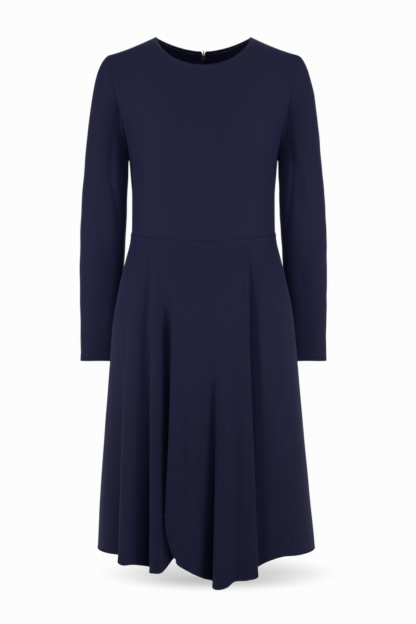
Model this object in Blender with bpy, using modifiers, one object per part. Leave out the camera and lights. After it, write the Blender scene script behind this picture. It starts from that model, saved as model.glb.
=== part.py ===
"""Long-sleeved fit-and-flare dress in plain jersey, filled out and hollow.

The dress faces -Y, +X is the viewer's right in a front view and +Z is up. The origin is where the
wearer's shoulders carry it, on the centre plane, level with the middle of the shoulder seams.
Every size below is in millimetres. An angle runs round the body from the centre front: 0 is the centre
front, 90 the right side seam, -90 the left side seam and 180 the centre back.
"""

import math

import bmesh
import bpy
import numpy as np
from mathutils import Matrix, Vector

MM = 0.001
WALL = 1.4  # thickness of the cloth wall
SEAM = 0.4  # gap between two pieces at a seam
SQUARE = 0.022  # how far a body section is squarer than an ellipse

# Neckline, shoulder and armhole
NECK_HALF = 94.5  # half width of the neck opening, at the neck points
NECK_TOP = 20.5  # height of the neck points
NECK_MIDDLE = 8.0  # the neck points' distance behind the centre plane
NECK_DEPTH = 71.0  # neck opening, from its middle to the front or the back
NECK_DROP_FRONT, NECK_DROP_BACK = 63.0, 20.0
SHOULDER_HALF = 189.0
SHOULDER_HEIGHT = -17.5
SHOULDER_BACK = 3.0
NECK_SHARE = 0.5  # share of the columns, from the centre to the side, that end on the neckline
UNDERARM = -226.0
ARMHOLE_FRONT, ARMHOLE_BACK = 43.0, 48.0  # how far the armhole bows forward and back

# Waist seam: its mean height, its tilt down to the front, and its second wave
WAIST, WAIST_TILT, WAIST_WAVE = -372.8, 14.8, 2.4
HIP, THIGH, HEM = -560.0, -790.0, -1000.0  # heights; the hem's is that at the side seams


def table(columns, *rows):
    """A table as {column: its numbers}, one row for each section, fold or ring."""
    return {name: np.array([row[i] for row in rows], float) for i, name in enumerate(columns.split())}


# Sections of the body, from the waist up to the bust: half width, and depths in front of and behind the middle
TORSO = table(
    "height half front back middle shift",
    (-420.0, 148.0, 109.0, 99.0, 8.0, 0.0),
    (-390.0, 143.8, 107.0, 97.0, 8.0, 0.0),
    (-350.0, 142.6, 108.5, 97.0, 8.0, 0.0),
    (-300.0, 142.4, 116.0, 99.5, 8.0, 0.0),
    (-255.0, 145.6, 126.0, 104.0, 8.0, 0.0),
    (-205.0, 149.5, 132.0, 108.5, 8.0, 0.0),
    (-180.0, 151.0, 132.5, 109.5, 8.0, 0.0),
)

# The plain flare of the skirt that the folds stand in and out of
FLARE = table(
    "height half front back middle shift",
    (-1110.0, 221.6, 156.0, 186.0, -10.0, 5.7),
    (-1002.0, 216.3, 150.0, 178.0, -10.0, 5.7),
    (-895.0, 208.4, 144.0, 170.0, -10.5, 2.9),
    (-756.0, 196.9, 136.0, 158.0, -12.0, 1.4),
    (-626.0, 186.0, 128.0, 144.0, -13.0, 0.5),
    (-552.0, 179.8, 124.0, 134.0, -11.0, 0.0),
    (-480.0, 167.6, 118.0, 121.0, -4.0, 0.0),
    (-430.0, 156.0, 112.0, 108.0, 3.0, 0.0),
    (-390.0, 146.2, 107.6, 98.0, 8.0, 0.0),
    (-372.0, 143.8, 107.0, 97.0, 8.0, 0.0),
    (-350.0, 142.6, 106.5, 97.0, 8.0, 0.0),
)

# Rings of the sleeve below its cap: middle of the arm, and half sizes across and front to back
SLEEVE = table(
    "height across behind half deep",
    (-645.0, 211.0, 74.0, 38.3, 33.0),
    (-629.0, 210.7, 72.3, 38.4, 33.0),
    (-574.0, 208.9, 66.0, 40.1, 36.5),
    (-507.0, 206.6, 54.5, 42.3, 41.5),
    (-448.0, 204.9, 40.5, 43.9, 45.5),
    (-400.0, 202.9, 28.5, 44.7, 48.0),
    (-364.0, 200.9, 19.5, 45.5, 49.0),
    (-294.0, 196.7, 8.0, 44.6, 50.0),
    (-262.0, 194.4, 4.0, 43.6, 50.5),
)
CUFF = -629.0

# Folds of the skirt, from the left side to the right side. across_*: distance right of the centre plane at the
# waist, hip, thigh and hem. out_*: how far the cloth stands out of the plain flare there, with a minus sign where it
# sinks in. start: the height where that begins. drop: how far the hem hangs below the side seams. cells: steps to
# the next row. The rows at the two side seams reach past the flare's edge, which stops them there.
FOLD_ONSET = 110.0  # height over which a fold grows to its full size
LEVELS = ("waist", "hip", "thigh", "hem")
FOLDS = "across_waist across_hip across_thigh across_hem out_waist out_hip out_thigh out_hem start drop cells"
FRONT_UNDER = table(
    FOLDS,
    (-150.0, -190.0, -205.0, -216.0, 0, 0, 0, 0, -380.0, 1, 3),
    (-138.0, -168.5, -183.5, -191.0, 0, 0, -4, -8, -600.0, 5, 1),
    (-127.5, -152.5, -163.5, -166.5, 0, -1, -13, -34, -620.0, 9, 1),
    (-125.0, -148.5, -161.0, -165.5, 0, 1, -2, 0, -600.0, 16, 1),
    (-119.0, -138.0, -149.0, -150.0, 0, 3, 6, 13, -380.0, 22, 1),
    (-110.0, -124.0, -129.5, -129.0, 0, 2, 4, 8, -380.0, 20, 1),
    (-100.0, -106.5, -107.5, -107.0, 0, -6, -16, -26, -420.0, 28, 1),
    (-97.0, -100.5, -103.0, -103.0, 0, 2, 1, 2, -400.0, 34, 1),
    (-90.0, -91.5, -93.0, -91.5, 0, 8, 13, 18, -390.0, 34, 1),
    (-82.5, -82.5, -82.5, -80.5, 0, 0, 0, 3, -440.0, 34, 1),
    (-71.5, -72.0, -74.0, -75.0, 0, -15, -32, -44, -470.0, 21, 1),
    (-62.0, -60.0, -61.0, -58.0, -1.8, -13, -30, -44, -470.0, 4, 1),
    (-50.0, -46.0, -40.0, -32.0, -2.2, -6, -18, -34, -470.0, -22, 1),
)
FRONT_OVER = table(
    FOLDS,
    (-59.5, -61.5, -67.5, -74.0, 0, 1, 1, -2, -380.0, 6, 1),
    (-50.0, -49.5, -50.0, -50.0, 0, 2, 3, 1, -380.0, 18, 1),
    (-34.0, -33.0, -32.0, -29.0, 0, 1, 1, 0, -380.0, 31, 1),
    (-16.5, -14.5, -14.5, -11.0, 0, 2, 5, 5, -480.0, 39, 1),
    (5.0, 7.0, 5.0, 3.0, 0, 0, -3, -9, -560.0, 46, 1),
    (22.5, 22.5, 23.5, 19.0, 0, -3, -15, -33, -590.0, 53, 1),
    (30.5, 31.0, 27.0, 18.5, 0, 0, 0, 5, -590.0, 62, 1),
    (38.5, 39.0, 35.5, 28.5, 0, 3, 9, 19, -470.0, 64, 1),
    (50.0, 50.0, 48.0, 44.0, 0, 3, 9, 18, -380.0, 60, 1),
    (62.0, 63.5, 62.0, 60.0, 0, 0, 2, 6, -380.0, 50, 1),
    (73.5, 77.0, 82.5, 84.0, 0, 2, 4, 9, -380.0, 48, 1),
    (80.5, 85.5, 94.5, 102.5, 0, 3, 6, 11, -380.0, 42, 1),
    (87.5, 92.0, 99.5, 106.5, 0, -12, -15, -15, -400.0, 30, 1),
    (95.5, 103.0, 110.5, 116.5, 0, -5, -12, -19, -400.0, 23, 1),
    (105.5, 114.5, 126.0, 134.0, 0, 2, -4, -12, -400.0, 14, 1),
    (119.5, 140.5, 154.0, 161.0, 0, 3, 2, -8, -380.0, 7, 1),
    (129.5, 160.0, 178.0, 191.0, 0, 1, 2, -3, -380.0, 6, 3),
    (150.0, 190.0, 210.0, 232.0, 0, 0, 0, 0, -380.0, 0, 1),
)
BACK_LEFT = table(
    FOLDS,
    (-150.0, -190.0, -205.0, -216.0, 0, 0, 0, 0, -380.0, 1, 3),
    (-136.0, -165.0, -178.0, -190.0, 0, 0, -2, -3, -400.0, 2, 1),
    (-122.0, -146.0, -158.0, -166.0, 0, 0, -8, -24, -470.0, 5, 1),
    (-108.0, -128.0, -139.0, -147.0, 0, 1, 3, 6, -420.0, 12, 2),
    (-90.0, -103.0, -108.0, -110.0, 0, 0, -8, -20, -400.0, 6, 1),
    (-74.0, -84.0, -90.0, -93.0, 0, 2, 8, 16, -380.0, 16, 2),
    (-54.0, -58.0, -60.0, -60.0, 0, 0, -10, -30, -420.0, 8, 1),
    (-38.0, -40.0, -42.0, -44.0, 0, 1, 4, 8, -380.0, 16, 1),
    (-20.0, -20.0, -20.0, -20.0, 0, 0, 2, 2, -380.0, 14, 1),
    (0.0, 0.0, 0.0, 0.0, 0, 0, 0, -6, -380.0, 10, 1),
)
BACK_RIGHT = table(
    FOLDS,
    (0.0, 0.0, 0.0, 0.0, 0, 0, 0, -6, -380.0, 10, 1),
    (18.0, 18.0, 18.0, 20.0, 0, 0, -3, -14, -480.0, 8, 1),
    (36.0, 38.0, 42.0, 46.0, 0, 1, 5, 10, -420.0, 18, 2),
    (56.0, 62.0, 70.0, 76.0, 0, 0, -10, -26, -400.0, 6, 1),
    (72.0, 82.0, 90.0, 96.0, 0, 2, 7, 14, -380.0, 15, 2),
    (92.0, 108.0, 118.0, 128.0, 0, 0, -8, -22, -470.0, 6, 1),
    (106.0, 126.0, 138.0, 150.0, 0, 1, 4, 8, -420.0, 13, 1),
    (122.0, 148.0, 162.0, 176.0, 0, 0, -5, -16, -520.0, 4, 1),
    (135.0, 167.0, 184.0, 203.0, 0, 0, 0, -2, -400.0, 2, 3),
    (150.0, 190.0, 210.0, 232.0, 0, 0, 0, 0, -380.0, 0, 1),
)
# The free edge of the front lap, where it leaves the seam at the slit and rounds into the hem
LAP = table(
    "height across",
    (-1009.0, -52.0),
    (-1000.0, -59.5),
    (-985.0, -65.5),
    (-965.0, -71.0),
    (-948.0, -74.3),
    (-930.0, -74.6),
    (-900.0, -73.5),
    (-802.0, -68.0),
)

# Zip at the centre back
ZIP_END = -545.0
TAPE_WIDTH, TAPE_WALL = 11.0, 1.0
TAPE_CLEAR = 0.4  # between the tape and the cloth
# The centre back stands open above the slider: half its width, and how far that is below the neck edge
MOUTH = table("below half", (0.0, 5.6), (4.0, 2.6), (19.0, SEAM / 2))
SLIDER_BELOW = 12.0  # from the neck edge down to the slider's middle
SLIDER_WIDTH, SLIDER_LENGTH, SLIDER_DEPTH = 8.0, 10.0, 2.6
BRIDGE_WIDTH, BRIDGE_LENGTH = 1.6, 4.0  # the plate that joins the slider to its lug through the open mouth
LUG_OUT, HOLE_OUT, HOLE_RADIUS = 4.2, 2.7, 0.9  # heights above the middle of the cloth
PULL_LENGTH, PULL_WIDTH, PULL_WALL = 22.0, 4.8, 1.2
SLOT_WIDTH, SLOT_REACH, PIN_RADIUS = 2.2, 3.6, 0.5

# Steps of the grids
BODICE_COLUMNS = 10  # on each side of the centre
LOWER_ROWS = 6  # from the waist up to the underarm
UPPER_UPS = (0.0, 0.13, 0.26, 0.39, 0.52, 0.65, 0.78, 0.91, 0.982, 1.0)  # from the underarm to the top edge
CAP_ROWS, ARM_ROWS = 6, 9
SKIRT_ROWS = 15

NAVY = (0.0165, 0.0175, 0.052, 1.0)
TAPE_NAVY = (0.012, 0.013, 0.035, 1.0)
DARK_METAL = (0.09, 0.09, 0.10, 1.0)


# ---------------------------------------------------------------- numbers from the tables


def smooth(rows, column, at):
    """A column of a table, read at heights between its rows without overshoot."""
    order = np.argsort(rows["height"])
    return monotone(rows["height"][order], rows[column][order], at)


def monotone(x, y, at):
    """A smooth curve through points that never overshoots them."""
    x, y = np.asarray(x, float), np.asarray(y, float)
    step, rise = np.diff(x), np.diff(y)
    slope = rise / step
    bend = np.zeros(len(x))
    bend[0], bend[-1] = slope[0], slope[-1]
    for i in range(1, len(x) - 1):
        if slope[i - 1] * slope[i] > 0:
            a, b = 2 * step[i] + step[i - 1], step[i] + 2 * step[i - 1]
            bend[i] = (a + b) / (a / slope[i - 1] + b / slope[i])
    at = np.clip(np.asarray(at, float), x[0], x[-1])
    i = np.clip(np.searchsorted(x, at, side="right") - 1, 0, len(x) - 2)
    t = (at - x[i]) / step[i]
    return (
        (1 + 2 * t) * (1 - t) ** 2 * y[i]
        + t * (1 - t) ** 2 * step[i] * bend[i]
        + t * t * (3 - 2 * t) * y[i + 1]
        + t * t * (t - 1) * step[i] * bend[i + 1]
    )


def between(stack, at):
    """A smooth curve through the first axis of a stack of values, read at a place between two of them. Each place
    has its own values."""
    last = len(stack) - 1
    i = np.clip(np.floor(at).astype(int), 0, last - 1)
    t = at - i
    a, b, c, d = (
        np.take_along_axis(stack, np.clip(i + k, 0, last)[None], axis=0)[0] for k in (-1, 0, 1, 2)
    )
    a = np.where(i == 0, 2 * b - c, a)
    d = np.where(i == last - 1, 2 * c - b, d)
    return 0.5 * (2 * b + (c - a) * t + (2 * a - 5 * b + 4 * c - d) * t**2 + (3 * b - a - 3 * c + d) * t**3)


def through(values, at):
    """between(), for one list of values."""
    at = np.asarray(at, float)
    return between(np.broadcast_to(values.reshape(-1, *[1] * at.ndim), (len(values), *at.shape)), at)


def hermite(start, start_way, end, end_way, t):
    t = np.asarray(t, float)[..., None]
    return (
        (1 + 2 * t) * (1 - t) ** 2 * start
        + t * (1 - t) ** 2 * start_way
        + t * t * (3 - 2 * t) * end
        + t * t * (t - 1) * end_way
    )


# ---------------------------------------------------------------- the body of the dress


def oval(rows, height, degrees):
    """The point of a body section at a height and an angle round the body."""
    a = np.radians(degrees)
    side = (np.sin(a) + SQUARE * np.sin(3 * a)) / (1 - SQUARE)
    fore = (np.cos(a) - SQUARE * np.cos(3 * a)) / (1 - SQUARE)
    deep = np.where(fore > 0, smooth(rows, "front", height), smooth(rows, "back", height))
    x = smooth(rows, "shift", height) + smooth(rows, "half", height) * side
    y = smooth(rows, "middle", height) - deep * fore
    return np.stack(np.broadcast_arrays(x, y, height), axis=-1)


def waist_height(degrees):
    a = np.radians(degrees)
    return WAIST - WAIST_TILT * np.cos(a) - WAIST_WAVE * np.cos(2 * a)


def neckline(degrees):
    """The neck edge: 0 is its centre front and 180 its centre back."""
    a = np.radians(degrees)
    fore = np.cos(a)
    drop = np.where(
        fore > 0, NECK_DROP_FRONT * np.abs(fore) ** 1.22, NECK_DROP_BACK * np.abs(fore) ** 2.4
    )
    return np.stack([NECK_HALF * np.sin(a), NECK_MIDDLE - NECK_DEPTH * fore, NECK_TOP - drop], axis=-1)


def shoulder(share):
    """The shoulder seam on the right, from the neck point, 0, to the shoulder point, 1."""
    return np.stack(
        [
            NECK_HALF + (SHOULDER_HALF - NECK_HALF) * share,
            NECK_MIDDLE + (SHOULDER_BACK - NECK_MIDDLE) * share,
            NECK_TOP + (SHOULDER_HEIGHT - NECK_TOP) * share - 2.5 * np.sin(np.pi * share),
        ],
        axis=-1,
    )


def armhole(degrees):
    """The right armhole: 0 is the shoulder point, 90 its front, 180 the underarm and 270 its back."""
    a = np.radians(degrees)
    up = (1 + np.cos(a)) / 2
    bow = np.where(np.sin(a) > 0, -ARMHOLE_FRONT, ARMHOLE_BACK)
    bust = smooth(TORSO, "half", UNDERARM)
    return np.stack(
        [
            bust + (SHOULDER_HALF - bust) * up,
            SHOULDER_BACK * up + smooth(TORSO, "middle", UNDERARM) * (1 - up) + bow * np.abs(np.sin(a)),
            UNDERARM + (SHOULDER_HEIGHT - UNDERARM) * up,
        ],
        axis=-1,
    )


def upper_column(share, up, back):
    """The right half of the body above the underarm. share: 0 at the centre, 1 at the armhole. up: 0 to 1."""
    share, up = np.broadcast_arrays(np.asarray(share, float), np.asarray(up, float))
    degrees = 180 - 90 * share if back else 90 * share
    start = oval(TORSO, np.full(share.shape, UNDERARM), degrees)
    below = oval(TORSO, np.full(share.shape, UNDERARM - 10), degrees)
    on_neck = np.clip(share / NECK_SHARE, 0, 1)
    on_shoulder = np.clip((share - NECK_SHARE) / (1 - NECK_SHARE), 0, 1)
    end = np.where(
        (share <= NECK_SHARE)[..., None],
        neckline(180 - 90 * on_neck if back else 90 * on_neck),
        shoulder(on_shoulder),
    )
    centre_lean, side_lean = (40, 88) if back else (36, 88)
    lean = np.radians(centre_lean + (side_lean - centre_lean) * (on_neck**1.6))
    way = np.stack([np.zeros_like(lean), (-1 if back else 1) * np.sin(lean), np.cos(lean)], axis=-1)
    reach = np.linalg.norm(end - start, axis=-1)[..., None]
    points = hermite(start, (start - below) / 10 * reach, end, way * reach, up)
    if (share > 0.35).any():
        ones = np.ones_like(share)
        plain = hermite(
            *(np.broadcast_to(v, points.shape) for v in side_column(back)), up
        )
        wanted = armhole((180 * (1 - up)) * (-1 if back else 1) + (360 if back else 0) * ones)
        pull = np.clip((share - 0.35) / 0.65, 0, 1) ** 2
        points = points + pull[..., None] * (wanted - plain)
    return points


def side_column(back):
    """The two ends and their directions of the plain column that the armhole replaces."""
    start = oval(TORSO, np.array(UNDERARM), 90.0)
    below = oval(TORSO, np.array(UNDERARM - 10), 90.0)
    end = shoulder(np.array(1.0))
    lean = math.radians(88)
    way = np.array([0.0, (-1 if back else 1) * math.sin(lean), math.cos(lean)])
    reach = np.linalg.norm(end - start)
    return start, (start - below) / 10 * reach, end, way * reach


def bodice(share, up, back):
    """The bodice's middle surface. share: -1 at the left side, 0 at the centre, 1 at the right side.
    up: -1 at the waist, 0 at the underarm and 1 at the top edge."""
    share, up = np.broadcast_arrays(np.asarray(share, float), np.asarray(up, float))
    side = np.where(share < 0, -1.0, 1.0)
    out = np.abs(share)
    degrees = 180 - 90 * out if back else 90 * out
    waist = waist_height(degrees)
    low = oval(TORSO, waist + (UNDERARM - waist) * (1 + np.minimum(up, 0)), degrees)
    high = upper_column(out, np.maximum(up, 0), back)
    points = np.where((up > 0)[..., None], high, low)
    points[..., 0] *= side
    return points


# ---------------------------------------------------------------- sleeve


def sleeve(degrees, down):
    """The right sleeve's middle surface. degrees: 0 along the outer arm, 90 its front, 180 its inner side.
    down: 0 at the armhole, 1 at the foot of the cap and 2 at the cuff."""
    degrees, down = np.broadcast_arrays(np.asarray(degrees, float), np.asarray(down, float))
    a = np.radians(degrees)
    inner = (1 - np.cos(a)) / 2
    foot = SLEEVE["height"].max()

    def ring(height):
        x = smooth(SLEEVE, "across", height) + smooth(SLEEVE, "half", height) * np.cos(a)
        y = smooth(SLEEVE, "behind", height) - smooth(SLEEVE, "deep", height) * np.sin(a)
        return np.stack(np.broadcast_arrays(x, y, height), axis=-1)

    start = armhole(degrees)
    start[..., 0] += SEAM + 0.15 + (WALL + 0.1) * inner**3
    end = ring(np.full(degrees.shape, foot))
    dip = np.radians(26 + 52 * inner)
    reach = np.linalg.norm(end - start, axis=-1)[..., None]
    leave = np.stack([np.cos(dip), 0 * dip, -np.sin(dip)], axis=-1)
    leave[..., 1] = -0.15 * np.sin(a)
    arrive = ring(np.full(degrees.shape, foot - 10)) - end
    arrive = arrive / np.linalg.norm(arrive, axis=-1)[..., None]
    cap = hermite(start, leave * reach * 0.5, end, arrive * reach * 0.85, np.minimum(down, 1))
    arm = ring(foot + (CUFF - foot) * np.clip(down - 1, 0, 1))
    return np.where((down > 1)[..., None], arm, cap)


# ---------------------------------------------------------------- skirt


def angle_at(across, height, back):
    """The angle round the body at which the plain flare is that far right of the centre plane."""
    wanted = np.clip((across - smooth(FLARE, "shift", height)) / smooth(FLARE, "half", height), -1, 1)
    a = np.arcsin(wanted)
    for _ in range(12):
        side = (np.sin(a) + SQUARE * np.sin(3 * a)) / (1 - SQUARE)
        rate = (np.cos(a) + 3 * SQUARE * np.cos(3 * a)) / (1 - SQUARE)
        a = np.clip(a - (side - wanted) / np.maximum(rate, 0.2), -math.pi / 2, math.pi / 2)
    degrees = np.degrees(a)
    return (180 - degrees) % 360 if back else degrees


def skirt(rows, fold, down, back=False, lap=False):
    """The middle surface of a skirt panel. fold: the number of a row of its table, or a place between two rows.
    down: 0 at the waist seam and 1 at the hem. lap: row 0 is the free edge that rounds into the hem."""
    fold, down = np.broadcast_arrays(np.asarray(fold, float), np.asarray(down, float))
    waist = waist_height(through(angle_at(rows["across_waist"], WAIST, back), fold))
    hem = HEM - through(rows["drop"], fold)
    height = waist + (hem - waist) * down
    angles, outs = [], []
    for i, drop in enumerate(rows["drop"]):
        levels = -np.array([WAIST, HIP, THIGH, HEM - drop])
        across = monotone(levels, [rows[f"across_{n}"][i] for n in LEVELS], -height)
        if lap and i == 0:
            across = np.where(height < LAP["height"].max(), smooth(LAP, "across", height), across)
        angles.append(angle_at(across, height, back))
        out = monotone(levels, [rows[f"out_{n}"][i] for n in LEVELS], -height)
        begun = np.clip((rows["start"][i] - height) / FOLD_ONSET, 0, 1)
        begun = begun * begun * (3 - 2 * begun)
        outs.append(rows["out_waist"][i] + (out - rows["out_waist"][i]) * begun)
    degrees, out = between(np.stack(angles), fold), between(np.stack(outs), fold)
    way = oval(FLARE, height, degrees + 1) - oval(FLARE, height, degrees - 1)
    way = way[..., [1, 0, 2]] * [1, -1, 0]
    way /= np.linalg.norm(way, axis=-1)[..., None]
    return oval(FLARE, height, degrees) + way * out[..., None]


# ---------------------------------------------------------------- making the pieces


def inset(points, left=0.0, right=0.0, low=0.0, high=0.0):
    """Draws the edges of a grid of points back along the cloth, to leave the gap of a seam."""
    points = points.copy()
    for edge, inner, gap in (
        (np.s_[:, 0], np.s_[:, 1], left),
        (np.s_[:, -1], np.s_[:, -2], right),
        (np.s_[0, :], np.s_[1, :], low),
        (np.s_[-1, :], np.s_[-2, :], high),
    ):
        way = points[inner] - points[edge]
        points[edge] += way / np.linalg.norm(way, axis=-1)[..., None] * gap
    return points


def normals(points):
    """The direction out of each point of a grid whose columns run to the right and rows upwards, seen from outside."""
    right, up = np.gradient(points, axis=1), np.gradient(points, axis=0)
    way = np.cross(right, up)
    return way / np.linalg.norm(way, axis=-1)[..., None]


def material(name, colour, roughness, metallic=0.0, sheen=0.0):
    made = bpy.data.materials.get(name) or bpy.data.materials.new(name)
    made.use_nodes = True
    made.diffuse_color = colour
    shader = made.node_tree.nodes["Principled BSDF"]
    shader.inputs["Base Color"].default_value = colour
    shader.inputs["Roughness"].default_value = roughness
    shader.inputs["Metallic"].default_value = metallic
    shader.inputs["Sheen Weight"].default_value = sheen
    return made


def add(name, mesh, collection, finish):
    obj = bpy.data.objects.new(name, mesh)
    obj.data.materials.append(finish)
    collection.objects.link(obj)
    return obj


def cloth(name, points, collection, finish, wall=WALL, around=False):
    """A piece of cloth: a grid laid on the points, [row, column, xyz] in millimetres, with a wall on both sides."""
    rows, columns = points.shape[:2]
    bm = bmesh.new()
    bmesh.ops.create_grid(bm, x_segments=columns - 1, y_segments=rows - 1, size=1.0)
    for vert in bm.verts:
        column = round((vert.co.x + 1) / 2 * (columns - 1))
        row = round((vert.co.y + 1) / 2 * (rows - 1))
        vert.co = Vector(points[row, column]) * MM
    if around:
        bmesh.ops.remove_doubles(bm, verts=bm.verts, dist=1e-6)
    mesh = bpy.data.meshes.new(name)
    bm.to_mesh(mesh)
    bm.free()
    mesh.shade_smooth()
    obj = add(name, mesh, collection, finish)
    solid = obj.modifiers.new("wall", "SOLIDIFY")
    solid.thickness = wall * MM
    solid.offset = 0.0
    return obj


def mirrored(points):
    """The grid on the other side of the centre plane, with its columns still running to the right."""
    return points[:, ::-1] * [-1, 1, 1]


def open_mouth(points, side):
    """Moves a back panel's centre edge, its first column, aside: by half a seam, or more at the mouth of the zip."""
    points = points.copy()
    below = np.linalg.norm(points[:, 0] - points[-1, 0], axis=-1)
    points[:, 0, 0] += side * monotone(MOUTH["below"], MOUTH["half"], below)
    return points


def strip(skirt_points, bodice_points):
    """A zip tape on the inside of two back panels, along their first column. It starts at the zip's end."""
    lower, upper = skirt_points[:, :2], bodice_points[:, :2]
    seam = (lower[-1:] + upper[:1]) / 2
    column = np.concatenate([lower[:-1], seam, upper[1:]])
    first = int(np.argmax(column[:, 0, 2] > ZIP_END))
    share = (ZIP_END - column[first - 1, 0, 2]) / (column[first, 0, 2] - column[first - 1, 0, 2])
    start = column[first - 1] + (column[first] - column[first - 1]) * share
    column = np.concatenate([start[None], column[first:]])
    along = column[:, 1] - column[:, 0]
    along /= np.linalg.norm(along, axis=-1)[..., None]
    up = np.gradient(column[:, 0], axis=0)
    inward = np.cross(along, up)
    inward *= -np.sign(inward[:, 1:2]) / np.linalg.norm(inward, axis=-1)[..., None]
    edge = column[:, 0] + along * 0.15 + inward * (WALL / 2 + TAPE_CLEAR + TAPE_WALL / 2)
    edge[-1] += (edge[-2] - edge[-1]) * 0.3
    return np.stack([edge, edge + along * TAPE_WIDTH], axis=1)


def box(name, low, high, bevel=0.0, place=Matrix()):
    """A box from one corner to the other, in millimetres, with its edges rounded."""
    low, high = Vector(low), Vector(high)
    bm = bmesh.new()
    bmesh.ops.create_cube(bm, size=1.0)
    for vert in bm.verts:
        vert.co = Vector((vert.co[i] + 0.5) * (high[i] - low[i]) + low[i] for i in range(3)) * MM
    if bevel:
        bmesh.ops.bevel(bm, geom=list(bm.edges), offset=bevel * MM, segments=2, profile=0.5, affect="EDGES")
    bm.transform(place)
    mesh = bpy.data.meshes.new(name)
    bm.to_mesh(mesh)
    bm.free()
    return mesh


def rod(name, radius, low, high, place=Matrix(), segments=20):
    """A cylinder along X from low to high, in millimetres."""
    bm = bmesh.new()
    bmesh.ops.create_cone(
        bm, cap_ends=True, segments=segments, radius1=radius * MM, radius2=radius * MM, depth=(high - low) * MM
    )
    bm.transform(Matrix.Rotation(math.pi / 2, 4, "Y"))
    bm.transform(Matrix.Translation(((low + high) / 2 * MM, 0, 0)))
    bm.transform(place)
    mesh = bpy.data.meshes.new(name)
    bm.to_mesh(mesh)
    bm.free()
    return mesh


def combine(target, mesh, operation, cutters):
    """Joins a mesh to an object, or cuts it out of it."""
    tool = bpy.data.objects.new(mesh.name, mesh)
    cutters.objects.link(tool)
    tool.matrix_world = target.matrix_world
    tool.hide_render = True
    tool.display_type = "WIRE"
    change = target.modifiers.new(mesh.name, "BOOLEAN")
    change.operation = operation
    change.object = tool
    change.solver = "EXACT"


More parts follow.
